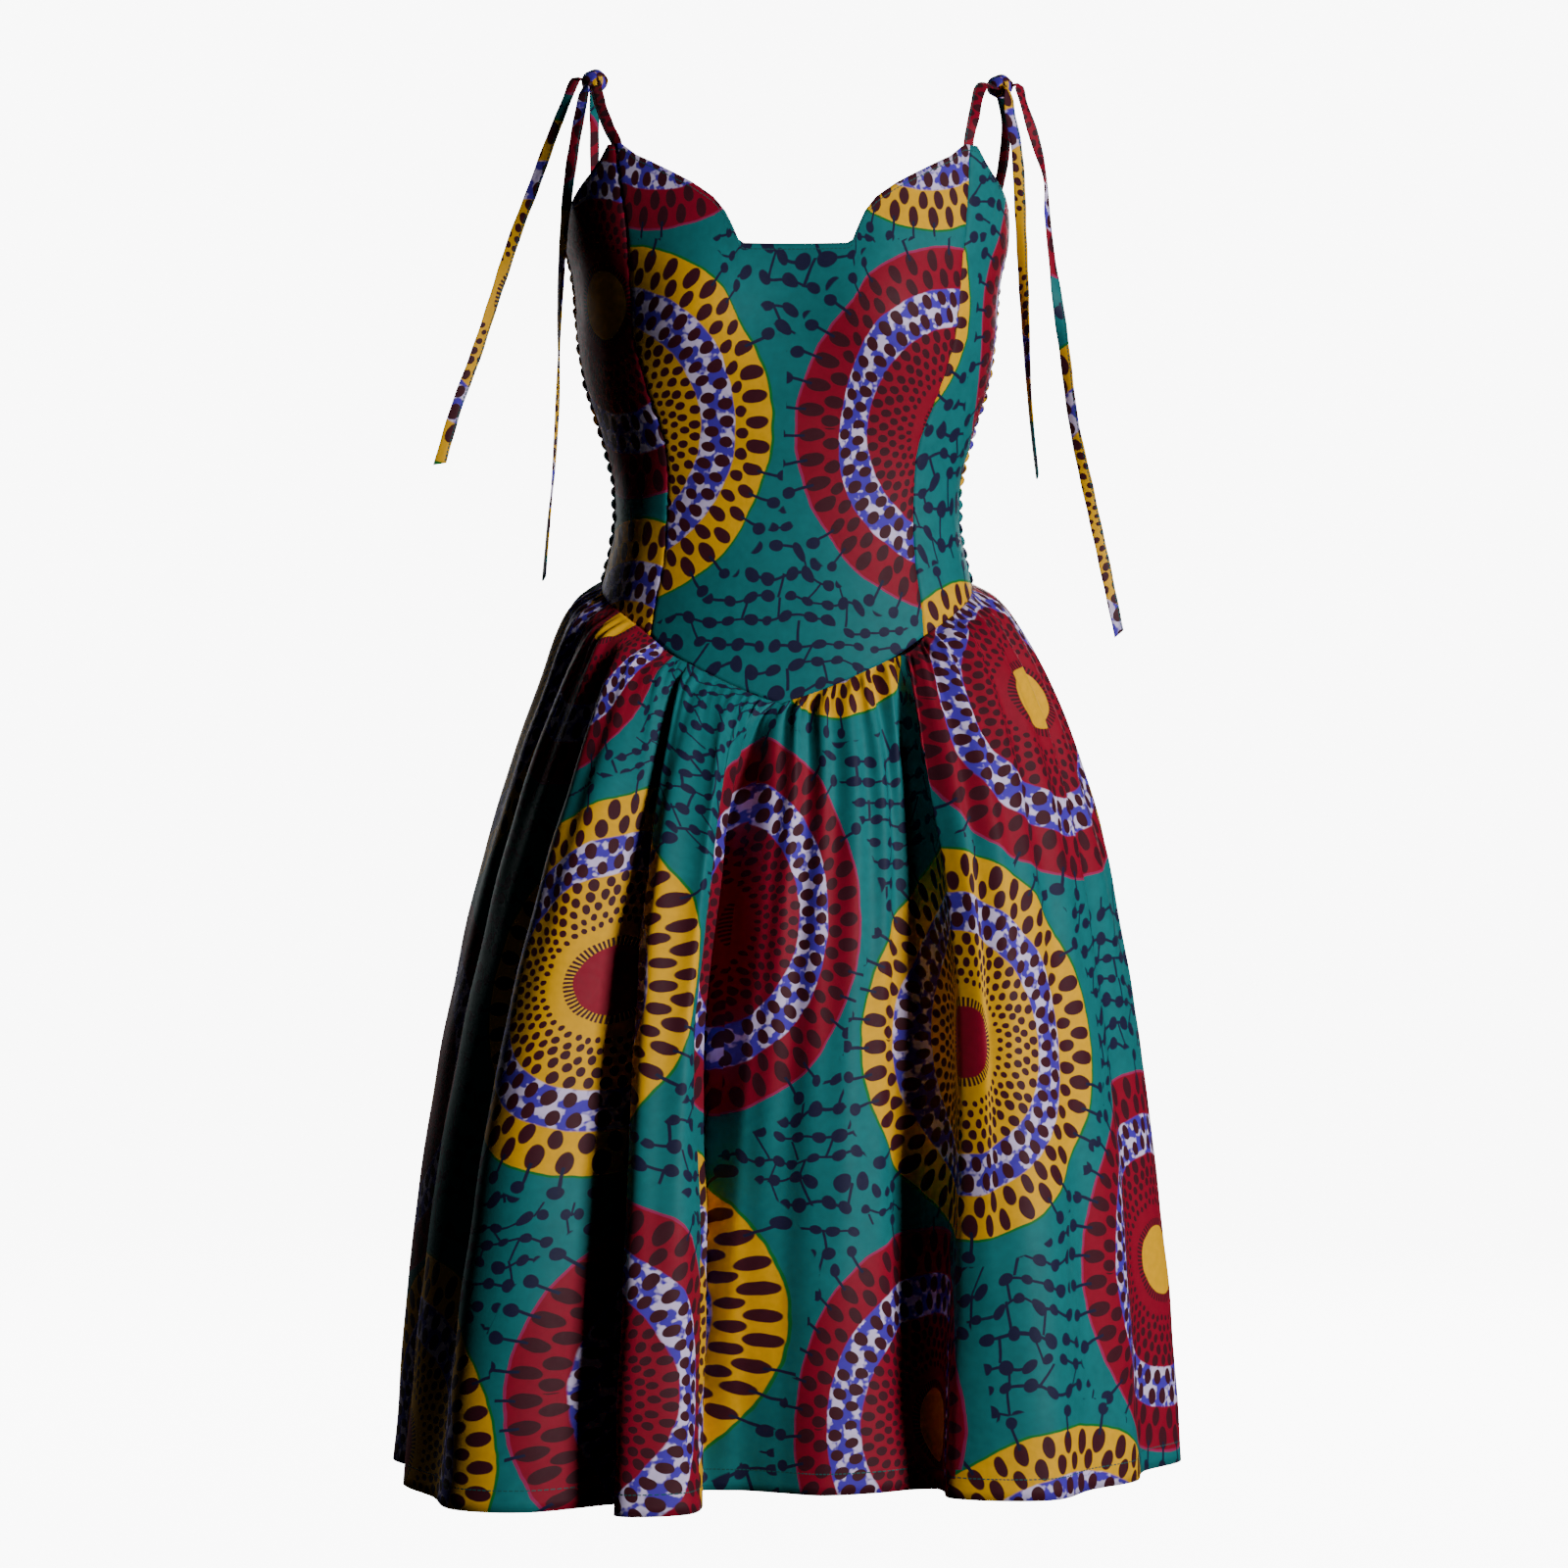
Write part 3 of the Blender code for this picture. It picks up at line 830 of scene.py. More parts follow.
    def build(self) -> bpy.types.Material:
        """Makes the material.

        Returns:
            The material.
        """
        bench = NodeBench(self.name)
        dye = self.colours
        across, up = bench.pair("cloth")
        x, y = bench.pair("disc")
        hand_x, hand_y, tone = bench.noise(bench.vector(across, up), 55.0, 1.0)
        x = x + (hand_x - 0.5) * self.waver
        y = y + (hand_y - 0.5) * self.waver
        rho = bench.maths("SQRT", x * x + y * y)
        turns = bench.maths("ARCTAN2", y, x) * (1 / math.tau)
        kind_node = bench.node("ShaderNodeAttribute")
        kind_node.attribute_name = "disc_kind"
        kind = Wire(bench, kind_node.outputs["Fac"])

        (marks, aside, luck), *inner = [self.dots(bench, rho, turns, row) for row in self.rows]
        for mask, *_ in inner:
            marks = marks.most(mask)
        chained = luck.fades(0.60, 0.61)
        stem = (rho - self.stem_ring).size().fades(0.058, 0.062) * chained
        stem = aside.size().fades(0.0055, 0.0085) * stem
        beads = self.dots(bench, rho, turns, DotRow(self.bead_ring, 0.032, 0.032))[0] * chained
        tick = turns * self.ticks
        tick = (tick - tick.whole() - 0.5).size().fades(0.22, 0.34)
        marks = marks.most(tick * (rho - self.tick_ring).size().fades(0.023, 0.028))

        ground = bench.blend(tone, dye.ground, dye.ground_deep)
        net = self.network(bench, across, up) * rho.fades(1.135, 1.125)
        ground = bench.blend(net.most(beads), ground, dye.navy)
        main = bench.blend(kind, dye.yellow, dye.red)
        core = bench.blend(kind, dye.red, dye.yellow)
        smear, _, _ = bench.noise(bench.vector(x, y), 13.0, 2.0)
        lilac = bench.blend(smear.fades(0.520, 0.430), dye.lilac, dye.violet)
        band = (rho - self.lilac_ring).size().fades(self.lilac_half, self.lilac_half + 0.012)
        disc = bench.blend(band, main, lilac)
        disc = bench.blend(marks, disc, dye.brown)
        disc = bench.blend(rho.fades(self.core - 0.002, self.core + 0.004), disc, core)
        colour = bench.blend(rho.fades(0.997, 1.003), ground, disc)
        outline = bench.blend(kind, dye.leaf, dye.rose)
        colour = bench.blend((rho - 1.0).size().fades(0.004, 0.009), colour, outline)
        colour = bench.blend(stem, colour, dye.navy)
        self.finish(bench, colour, across, up)
        return bench.material

    def finish(self, bench: NodeBench, colour: bpy.types.NodeSocket, across: Wire, up: Wire) -> None:
        """Gives the dyed cloth its weave, stitches, wax crackle and soft sheen.

        Args:
            bench: The material's nodes.
            colour: The dyes.
            across: Place across the cut.
            up: Place up the cut.
        """
        crackle, cloud, _ = bench.noise(bench.vector(across, up), 170.0, 3.0)
        worn = bench.node("ShaderNodeHueSaturation")
        bench.tree.links.new(colour, worn.inputs["Color"])
        bench.feed(worn.inputs["Value"], (crackle - 0.5) * 0.30 + (cloud - 0.5) * 0.12 + 1.0)
        stitch = self.stitches(bench)
        thread = bench.blend(stitch, worn.outputs[0], paint(22, 84, 84))
        bench.tree.links.new(thread, bench.shader.inputs["Base Color"])
        bench.feed(bench.shader.inputs["Roughness"], (cloud - 0.5) * 0.16 + self.roughness)
        bench.shader.inputs["Specular IOR Level"].default_value = 0.16
        bench.shader.inputs["Sheen Weight"].default_value = 0.03
        bench.shader.inputs["Sheen Roughness"].default_value = 0.5
        bump = bench.node("ShaderNodeBump")
        bump.inputs["Strength"].default_value = 0.35
        bump.inputs["Distance"].default_value = 0.00012
        bench.feed(bump.inputs["Height"], self.weave(bench, across, up) + stitch * 3.0)
        bench.tree.links.new(bump.outputs[0], bench.shader.inputs["Normal"])


def unevenness(flat: Array, size: float, height: float, turn: float) -> Array:
    """A slight unevenness of hanging cloth.

    Args:
        flat: Places in the cut.
        size: The usual distance between two swells.
        height: How high they are.
        turn: An angle that sets one piece apart from another.

    Returns:
        The lift of each point.
    """
    total = np.zeros(flat.shape[:2])
    for k, (way, pitch) in enumerate(((0.3, 1.0), (1.5, 0.73), (2.4, 1.31), (0.9, 0.52))):
        angle = way + turn
        along = flat[..., 0] * math.cos(angle) + flat[..., 1] * math.sin(angle)
        total += np.sin(math.tau * along / (size * pitch) + 1.7 * k + turn * 5)
    return height * total / 4


@dataclass
class Bodice:
    """The centre front, the two side fronts and the shirred back."""

    finish: bpy.types.Material
    shirred_finish: bpy.types.Material
    wall: float = 0.0015
    back_wall: float = 0.0012
    seam_lap: float = 0.0005
    seam_tuck: float = 0.0030
    seam_turn: float = 0.0036
    rows: int = 110
    ridges: int = 28
    rows_per_ridge: int = 6
    back_columns: int = 220
    shirr_rise: float = 0.0024
    shirr_step: float = 0.0068
    pucker_step: float = 0.0115
    pucker_rise: float = 0.00028
    pucker_reach: float = 0.007
    groove_depth: float = 0.0006
    groove_reach: float = 0.0018
    sway_height: float = 0.0005
    stitch_inset: float = 0.004
    fullness: float = 1.45
    # share of the way across the panel, drop
    neckline: Pattern = curve(
        (0, 0.1325), (0.18, 0.1324), (0.33, 0.132), (0.364, 0.1294), (0.4, 0.1196), (0.445, 0.1085),
        (0.515, 0.0974), (0.631, 0.0863), (0.773, 0.075), (0.904, 0.064), (0.968, 0.0548), (1, 0.0545),
    )
    armhole: Pattern = curve(
        (0, 0.0545), (0.08, 0.0548), (0.19, 0.065), (0.3, 0.0733), (0.583, 0.0892), (0.8, 0.104),
        (1, 0.1205),
    )
    back_top: Pattern = curve((0, 0.1205), (0.12, 0.131), (0.5, 0.137), (0.88, 0.131), (1, 0.1205))
    centre_cut: PrintCut = PrintCut((
        Disc(-0.165, -0.261, YELLOW, spread=1.16), Disc(0.15, -0.262, RED, spread=1.13),
        Disc(-0.128, 0.01, RED), Disc(0.125, 0.01, YELLOW),
    ), radius=0.1305)
    left_cut: PrintCut = PrintCut((Disc(-0.030, -0.171, RED), Disc(-0.032, -0.460, YELLOW)))
    right_cut: PrintCut = PrintCut((
        Disc(-0.12, -0.188, YELLOW), Disc(0.165, -0.168, RED), Disc(0.065, -0.5, YELLOW),
    ), radius=0.1330)
    back_cut: PrintCut = PrintCut((
        Disc(-0.24, -0.2, YELLOW), Disc(0.06, -0.34, RED), Disc(0.34, -0.18, YELLOW),
        Disc(-0.12, -0.5, RED),
    ))

    def grid(
        self, bearing_at: Callable[[Array, Array], Array], shares: Array, top: Array, rows: int
    ) -> tuple[Array, Array]:
        """Lays rows down a panel that ends on the waist seam.

        Args:
            bearing_at: The bearing of a share across the panel at a drop.
            shares: The share across for each column.
            top: The drop of each column's top.
            rows: How many steps each column has.

        Returns:
            The bearing and the drop of each point.
        """
        foot = np.full_like(shares, 0.4)
        for _ in range(20):
            foot = FORM.waist_drop(bearing_at(shares, foot))
        down = np.linspace(0.0, 1.0, rows + 1)[:, None]
        drop = top + (foot - top) * down
        return bearing_at(np.broadcast_to(shares, drop.shape), drop), drop

    def cloth(self, bearing: Array, drop: Array, middle: float) -> ClothGrid:
        """Makes a front panel's grid with its places in the cut.

        Args:
            bearing: The bearing of each point.
            drop: The drop of each point.
            middle: Which share of the columns the cut's own line is at.

        Returns:
            The grid.
        """
        points = FORM.point(bearing, drop)
        along = row_lengths(points)
        line = along[:, [int(round(middle * (along.shape[1] - 1)))]]
        flat = np.stack([along - line, -drop], axis=-1)
        edge = np.stack([along, drop - drop[:1] - self.stitch_inset], axis=-1)
        return ClothGrid(points, flat, edge)

    def seam_relief(self, grid: ClothGrid, turn: float) -> None:
        """Draws the cloth in along both upright seams, with the slight puckers of the stitching.

        Args:
            grid: The panel.
            turn: An angle that sets one piece apart from another.
        """
        along = row_lengths(grid.points)
        away = np.minimum(along, along[:, -1:] - along)
        up = grid.flat[..., 1]
        pucker = np.sin(math.tau * up / self.pucker_step + 2.2 * np.sin(up * 60 + turn))
        groove = self.groove_depth * np.exp(-((away / self.groove_reach) ** 2))
        grid.lift(self.pucker_rise * pucker * np.exp(-away / self.pucker_reach) - groove)

    def centre(self) -> None:
        """Makes the centre front."""
        corners = [row[0] for row in self.neckline.rows]
        half = np.unique(np.round(np.concatenate([np.linspace(0, 1, 60), corners, [0.9965]]), 4))
        shares = np.concatenate([-half[:0:-1], half])
        top = self.neckline.straight(np.abs(shares))
        bearing, drop = self.grid(lambda share, at: share * FORM.princess_bearing(at), shares, top, self.rows)
        grid = self.cloth(bearing, drop, 0.5)
        grid.meet(self.seam_lap)
        self.seam_relief(grid, 0.0)
        grid.lift(unevenness(grid.flat, 0.085, self.sway_height, 0.4))
        grid.tuck(self.seam_tuck, self.seam_turn)
        piece = cloth_wall("bodice_centre_front", grid, self.wall, self.centre_cut, self.finish)
        attach(piece, "front_centre_panel")

    def side(self, hand: int) -> None:
        """Makes a side front.

        Args:
            hand: 1 for the +X one and -1 for the other.
        """
        corners = [row[0] for row in self.armhole.rows]
        shares = np.unique(np.round(np.concatenate([np.linspace(0, 1, 44), corners, [0.005, 0.995]]), 4))
        if hand < 0:
            shares = -shares[::-1]

        def bearing_at(share: Array, at: Array) -> Array:
            """The bearing across the side front."""
            inner = FORM.princess_bearing(at)
            return hand * (inner + np.abs(share) * (FORM.side_seam.read(at) - inner))

        top = self.armhole.straight(np.abs(shares))
        bearing, drop = self.grid(bearing_at, shares, top, self.rows)
        grid = self.cloth(bearing, drop, 0.0 if hand > 0 else 1.0)
        grid.meet(self.seam_lap)
        self.seam_relief(grid, hand * 1.3)
        grid.lift(unevenness(grid.flat, 0.070, self.sway_height, 1.1 * hand))
        grid.tuck(self.seam_tuck, self.seam_turn)
        name = "right" if hand > 0 else "left"
        cut = self.right_cut if hand > 0 else self.left_cut
        piece = cloth_wall("bodice_side_front_" + name, grid, self.wall, cut, self.finish)
        attach(piece, "side_front_" + name)

    def back(self) -> None:
        """Makes the shirred back, with a puckered ridge between each two rows of elastic."""
        shares = np.linspace(0, 1, self.back_columns + 1)

        def bearing_at(share: Array, at: Array) -> Array:
            """The bearing across the back."""
            side = FORM.side_seam.read(at)
            return side + share * (360 - 2 * side)

        steps = self.ridges * self.rows_per_ridge
        top = self.back_top.straight(shares)
        bearing, drop = self.grid(bearing_at, shares, top, steps)
        points = FORM.point(bearing, drop)
        along = row_lengths(points)
        middle = along[:, [self.back_columns // 2]]
        flat = np.stack([(along - middle) * self.fullness, -drop * 1.12], axis=-1)
        edge = np.stack([along, np.full_like(along, 1.0)], axis=-1)
        grid = ClothGrid(points, flat, edge)
        grid.meet(self.seam_lap)
        ridge = np.arange(steps + 1)[:, None] / self.rows_per_ridge
        row = np.floor(ridge)
        swell = np.abs(np.sin(np.pi * ridge)) ** 0.75
        way = along / self.shirr_step + 1.9 * np.sin(row * 2.4) + 0.8 * np.sin(along * 95 + row * 1.3)
        pucker = 0.5 + 0.5 * np.sin(math.tau * way)
        slow = 0.85 + 0.15 * np.sin(along * 41 + row * 2.1)
        rise = swell * slow * (self.shirr_rise * (0.62 + 0.62 * pucker))
        grid.points = grid.points + FORM.outward(bearing, drop) * rise[..., None]
        grid.tuck(self.seam_tuck, self.back_wall)
        piece = cloth_wall("bodice_shirred_back", grid, self.back_wall, self.back_cut, self.shirred_finish)
        attach(piece, "back_shirred_panel")


@dataclass
class Skirt:
    """The front and back panels of the skirt, gathered on to the waist seam."""

    finish: bpy.types.Material
    wall: float = 0.0012
    seam_lap: float = 0.0005
    seam_tuck: float = 0.0030
    seam_turn: float = 0.0016
    hem_drop: float = 1.005
    hem_depth: float = 0.016
    hem_fold: float = 0.0007
    hem_edge: float = 0.0015
    sway_step: float = 0.14
    sway_height: float = 0.0009
    pucker_rise: float = 0.0011
    side_bearing: float = 88.0
    columns_per_fold: int = 12
    rows: int = 120
    # bearing on the waist seam, bearing at the hem, distance of the hem from the axis
    fold_lines: tuple[Row, ...] = (
        (-88, -94, 0.283), (-80, -83, 0.288), (-72, -73, 0.277), (-64, -62, 0.305),
        (-56, -51.5, 0.315), (-49, -43, 0.331), (-43, -34.5, 0.311), (-38, -27, 0.258),
        (-33, -23.7, 0.289), (-24, -19.5, 0.287), (-14, -13.6, 0.266), (-8, -13.6, 0.234),
        (-2, -18, 0.184), (4, -12, 0.166), (12, -2.5, 0.175), (20, 7, 0.189),
        (28, 18, 0.189), (35, 26.5, 0.189), (40, 31, 0.196), (44, 27.8, 0.224),
        (51, 35, 0.256), (58, 42.5, 0.276), (65, 52, 0.268), (72, 62, 0.277),
        (79, 71, 0.269), (84, 81, 0.288), (88, 89, 0.284), (96, 98, 0.293),
        (105, 107, 0.268), (113, 115, 0.29), (121, 123.5, 0.254), (129, 131, 0.284),
        (136, 138, 0.27), (142, 141.5, 0.224), (149, 147, 0.262), (157, 156, 0.257),
        (164, 161.5, 0.204), (171, 168, 0.238), (180, 177.5, 0.246), (188, 186, 0.206),
        (195, 193, 0.246), (203, 202.5, 0.262), (210, 208, 0.221), (217, 214.5, 0.27),
        (225, 225, 0.281), (233, 233, 0.247), (241, 241, 0.287), (249, 250, 0.272),
        (257, 258, 0.291), (265, 263, 0.279), (272, 266, 0.283),
    )
    # share of the way down, spread, height of a gather, sway towards +X
    flare: Pattern = curve(
        (0, 0, 0, 0), (0.02, 0.125, 0.0022, 0.0004), (0.05, 0.205, 0.0042, 0.0018),
        (0.1, 0.303, 0.0052, 0.0046), (0.18, 0.435, 0.005, 0.006), (0.29, 0.578, 0.0042, 0.0058),
        (0.43, 0.71, 0.003, 0.0036), (0.6, 0.835, 0.0018, 0.0016), (0.79, 0.932, 0.0007, 0.0004),
        (1, 1, 0, 0),
    )
    # fold line, place across the cut, with the cloth that lies tucked in the deepest furrows
    front_across: Pattern = curve(
        (0, 0.01), (3.3, 0.208), (5.72, 0.32), (6.3, 0.347), (6.8, 0.374), (7.2, 0.415), (7.75, 0.44),
        (8.4, 0.453), (9.85, 0.486), (10.33, 0.512), (12.1, 0.596), (12.4, 0.606), (14.42, 0.663),
        (15.7, 0.713), (17.1, 0.745), (18.1, 0.768), (18.75, 0.846), (19.15, 0.851), (22.7, 0.986),
        (24.8, 1.099), (26, 1.165),
    )
    front_cut: PrintCut = PrintCut((
        Disc(0.348, 0.362, YELLOW, end=0.505),
        Disc(0.663, 0.394, RED, start=0.505, end=0.603, spread=2.3),
        Disc(0.573, 0.394, RED, start=0.603), Disc(0.85, 0.313, YELLOW), Disc(1.099, 0.147, RED),
        Disc(0.452, 0.08, RED, end=0.415), Disc(0.405, 0.08, RED, start=0.415, end=0.52),
        Disc(0.416, 0.118, YELLOW, start=0.52, spread=1.77),
        Disc(0.78, 0.045, RED, end=0.805, spread=0.85), Disc(0.719, 0.045, RED, start=0.805),
        Disc(0.937, -0.09, YELLOW), Disc(0.177, 0.026, YELLOW), Disc(0.208, 0.64, RED),
        Disc(0.69, 0.679, YELLOW), Disc(1.028, 0.562, RED, spread=1.5, core_width=1.75),
        Disc(0.04, 0.27, RED), Disc(0.02, 0.56, YELLOW),
    ))
    front_furrows: tuple[Furrow, ...] = (
        Furrow(
            curve(
                (0, 3.9, 0, 0), (0.05, 3.9, 5, 0), (0.15, 3.95, 12, 0), (0.3, 3.95, 18, 0),
                (0.5, 3.95, 19, 0), (0.8, 3.95, 13, 0), (1, 3.95, 4, 0),
            ),
            ridge=4.7, before=0.8, after=0.55,
        ),
        Furrow(
            curve(
                (0, 7.3, 0, 0), (0.04, 7.2, 5, -3), (0.14, 7.1, 13, -9), (0.31, 7.05, 24, -9),
                (0.45, 7.05, 29, -5), (0.71, 7.05, 26, 0), (0.92, 7.05, 20, 0), (1, 7.1, 11, 0),
            ),
            ridge=7.9, before=1.05, after=0.4,
        ),
        Furrow(
            curve(
                (0, 11.6, 0, 0), (0.04, 11.5, 13, -6), (0.12, 11.45, 31, -14), (0.29, 11.5, 52, -18),
                (0.44, 11.5, 52, -19), (0.71, 11.45, 41, -8), (0.92, 11.4, 26, -6), (1, 11.4, 10, -3),
            ),
            ridge=10.9, before=0.75, after=0.85, ridge_width=1.25,
        ),
        Furrow(
            curve(
                (0, 11.75, 0, 0), (0.12, 11.75, 0, -10), (0.29, 11.75, 0, -19), (0.44, 11.75, 0, -14),
                (0.71, 11.75, 0, -10), (0.92, 11.75, 0, -6), (1, 11.75, 0, -4),
            ),
            ridge=11.75, before=0.5, after=0.5, ridge_width=0.75,
        ),
        Furrow(
            curve((0, 12.9, 0, 0), (0.12, 12.9, -10, 0), (0.4, 12.9, -14, 0), (1, 12.8, -5, 0)),
            ridge=12.9, before=0.5, after=1,
        ),
        Furrow(
            curve(
                (0, 18.1, 3, 5), (0.04, 18.05, 7, 4), (0.12, 18, 14, 3), (0.29, 17.95, 24, 12),
                (0.44, 17.9, 30, 19), (0.71, 17.9, 32, 17), (0.9, 17.9, 24, 11), (1, 17.95, 7, 8),
            ),
            ridge=18.7, before=1.2, after=0.4, ridge_width=1.15,
        ),
    )
    # place, share of the way down that it reaches, depth in mm, width in fold lines
    front_gathers: tuple[Row, ...] = (
        (2.4, 0.1, 4.7, 0.3), (5.6, 0.13, 6.2, 0.28), (6.5, 0.07, 3.7, 0.22), (8.5, 0.11, 5.6, 0.34),
        (9.3, 0.14, 3.4, 0.2), (10.9, 0.06, 3.1, 0.2), (13.1, 0.05, 3.4, 0.22), (14.1, 0.08, 4.7, 0.26),
        (15.2, 0.05, 2.8, 0.2), (16.9, 0.11, 5.9, 0.3), (19.9, 0.07, 3.7, 0.24), (20.8, 0.12, 4.7, 0.28),
        (22.3, 0.06, 3.4, 0.22), (23.9, 0.1, 4.3, 0.26),
    )
    back_furrows: tuple[Furrow, ...] = (
        Furrow(
            curve((0, 30, 0, 0), (0.15, 30, 6, 0), (0.6, 30.1, 9, 3), (1, 30, 4, 0)),
            ridge=30.8, before=0.9, after=0.5,
        ),
        Furrow(
            curve((0, 33.1, 0, 0), (0.08, 33, 6, 0), (0.4, 32.9, 13, -5), (1, 33, 6, 0)),
            ridge=33.8, before=0.9, after=0.45,
        ),
        Furrow(
            curve((0, 36, 0, 0), (0.05, 36, 7, 0), (0.35, 36.1, 15, 6), (1, 36, 8, 0)),
            ridge=36.7, before=1, after=0.45,
        ),
        Furrow(
            curve((0, 39, 0, 0), (0.12, 39, 5, 0), (0.5, 38.9, 11, 4), (1, 39, 7, 0)),
            ridge=38.3, before=0.5, after=0.9,
        ),
        Furrow(
            curve((0, 42, 0, 0), (0.06, 42, 6, 0), (0.3, 42.1, 14, -4), (1, 42, 6, 0)),
            ridge=41.3, before=0.45, after=1,
        ),
        Furrow(
            curve((0, 45, 0, 0), (0.18, 45, 5, 0), (0.6, 45, 9, 0), (1, 45, 4, 0)),
            ridge=44.3, before=0.5, after=0.9,
        ),
    )
    back_gathers: tuple[Row, ...] = (
        (27.7, 0.09, 2.8, 0.26), (28.9, 0.06, 2.2, 0.22), (31.4, 0.12, 3.2, 0.28), (32.2, 0.05, 2, 0.22),
        (34.4, 0.08, 2.8, 0.24), (35.1, 0.13, 2.6, 0.24), (37.4, 0.07, 3, 0.26), (38.2, 0.05, 2.2, 0.2),
        (40.3, 0.11, 3.4, 0.3), (41.1, 0.06, 2.2, 0.22), (43.2, 0.09, 2.8, 0.26), (44.1, 0.05, 2, 0.2),
        (46.6, 0.12, 3, 0.28), (47.7, 0.07, 2.4, 0.24), (48.8, 0.09, 2.6, 0.26),
    )
    back_cut: PrintCut = PrintCut((
        Disc(0.12, 0.4, YELLOW), Disc(0.4, 0.285, RED), Disc(0.69, 0.42, YELLOW), Disc(0.985, 0.3, RED),
        Disc(0.12, 0.045, RED), Disc(0.54, 0.01, YELLOW), Disc(0.83, 0.06, RED),
        Disc(1.11, -0.01, YELLOW), Disc(0.41, 0.6, YELLOW, spread=1.4), Disc(0.0, 0.7, RED, spread=1.4),
        Disc(0.96, 0.66, YELLOW, spread=1.4), Disc(0.69, 0.74, RED, spread=1.4),
    ))

    def hem_points(self, place: Array) -> Array:
        """Finds points of the hem.

        Args:
            place: Places counted in fold lines.

        Returns:
            The points, at height 0.
        """
        rows = self.fold_lines[:-1]
        turn = np.radians([row[1] for row in rows])
        far = np.array([row[2] for row in rows])
        hem = np.stack([far * np.sin(turn), -far * np.cos(turn), np.zeros(len(rows))], axis=-1)
        i = np.floor(place + 1e-9).astype(int)
        before, start, end, after = (hem[(i + k) % len(rows)] for k in (-1, 0, 1, 2))
        share = (place - i)[:, None]
        return hermite(start, end, (end - before) / 2, (after - start) / 2, share)

    def grid(self, first: int, last: int) -> ClothGrid:
        """Lays the rows of one panel.

        Args:
            first: The fold line at its first side seam.
            last: The fold line at its other side seam.

        Returns:
            The panel's outer face.
        """
        place = np.linspace(first, last, (last - first) * self.columns_per_fold + 1)
        hem = self.hem_points(place)
        waist = np.interp(place, range(len(self.fold_lines)), [row[0] for row in self.fold_lines])
        top = FORM.point(waist, FORM.waist_drop(waist))
        swell = np.sin(np.pi * place) ** 2 - 0.35
        down = np.linspace(0, 1, self.rows + 1) ** 1.35
        spread = self.flare.read(down, 1)[:, None, None]
        gather = self.flare.read(down, 2)[:, None]
        points = top[None] + (hem - top)[None] * spread
        way = unit(points[..., :2])
        rise = gather * swell
        for furrow in self.front_furrows if first == 0 else self.back_furrows:
            rise = rise - furrow.sink(place, down)
            points[..., 0] += furrow.slide(place, down)
        for middle, reach, depth, width in self.front_gathers if first == 0 else self.back_gathers:
            start = np.clip(down / 0.010, 0, 1) * np.exp(-((down / reach) ** 1.6))
            rise = rise - MM * depth * start[:, None] * np.exp(-(((place - middle) / width) ** 2))
        points[..., :2] += way * rise[..., None]
        points[..., 0] += self.flare.read(down, 3)[:, None]
        points[..., 2] = top[:, 2] + (-self.hem_drop - top[:, 2]) * down[:, None]
        across = row_lengths(points[-1:])[0]
        if first == 0:
            tucked = self.front_across.straight(np.linspace(first - 0.25, last + 0.25, len(place) + 6))
            across = np.convolve(tucked, np.ones(7) / 7, mode="valid")
        fall = np.linalg.norm(np.diff(points, axis=0), axis=-1)
        rise = np.concatenate([np.cumsum(fall[::-1], axis=0)[::-1], np.zeros((1, len(place)))])
        flat = np.stack([np.broadcast_to(across, rise.shape), rise], axis=-1)
        edge = np.stack([flat[..., 0], rise - self.hem_depth * 0.9], axis=-1)
        along = row_lengths(points)
        hung = np.stack([along - along[:, [len(place) // 2]], rise], axis=-1)
        grid = ClothGrid(points, flat, edge, hung)
        self.pucker(grid, place, down)
        return grid

    def pucker(self, grid: ClothGrid, place: Array, down: Array) -> None:
        """Adds the small puckers that the seam's stitching draws up.

        Args:
            grid: The panel.
            place: Each column's place in fold lines.
            down: Each row's share of the way down.
        """
        wander = 0.22 * np.sin(1.9 * place) + 0.15 * np.sin(3.7 * place + 1.1)
        reach = 0.045 + 0.030 * np.sin(2.3 * place + 0.7)
        wave = np.sin(math.tau * (2 * place + wander)) + 0.5 * np.sin(math.tau * (3 * place - wander))
        start = np.clip(down / 0.012, 0, 1)[:, None]
        grid.lift(self.pucker_rise * wave * start * np.exp(-((down[:, None] / reach) ** 1.3)))

    def panel(self, name: str, node: str, first: int, last: int, cut: PrintCut) -> None:
        """Makes one panel.

        Args:
            name: The piece's name.
            node: The solid that it stands for.
            first: The fold line at its first side seam.
            last: The fold line at its other side seam.
            cut: Where the cut lies on the printed cloth.
        """
        grid = self.grid(first, last)
        grid.meet(self.seam_lap)
        grid.lift(unevenness(grid.flat, self.sway_step, self.sway_height, 0.3 + first))
        grid.tuck(self.seam_tuck, self.seam_turn)
        hem = np.clip((self.hem_depth - grid.flat[..., 1]) / self.hem_edge + 0.5, 0, 1)
        piece = cloth_wall(name, grid, self.wall + self.hem_fold * hem, cut, self.finish)
        attach(piece, node)
        width = float(row_lengths(grid.points[-1:])[0, -1])

    def build(self) -> None:
        """Makes both panels."""
        side = [row[0] for row in self.fold_lines].index(self.side_bearing)
        self.panel("skirt_front_cloth", "skirt_front", 0, side, self.front_cut)
        self.panel("skirt_back_cloth", "skirt_back", side, len(self.fold_lines) - 1, self.back_cut)


@dataclass(frozen=True)
class TieEnd:
    """A free end of a strap: the way it leaves its knot and its face there, then its route in mm."""

    name: str
    leaves: Row
    faces: Row
    route: tuple[tuple[Row, Row], ...]
    cut: PrintCut
    start: tuple[float, float]
    length: float


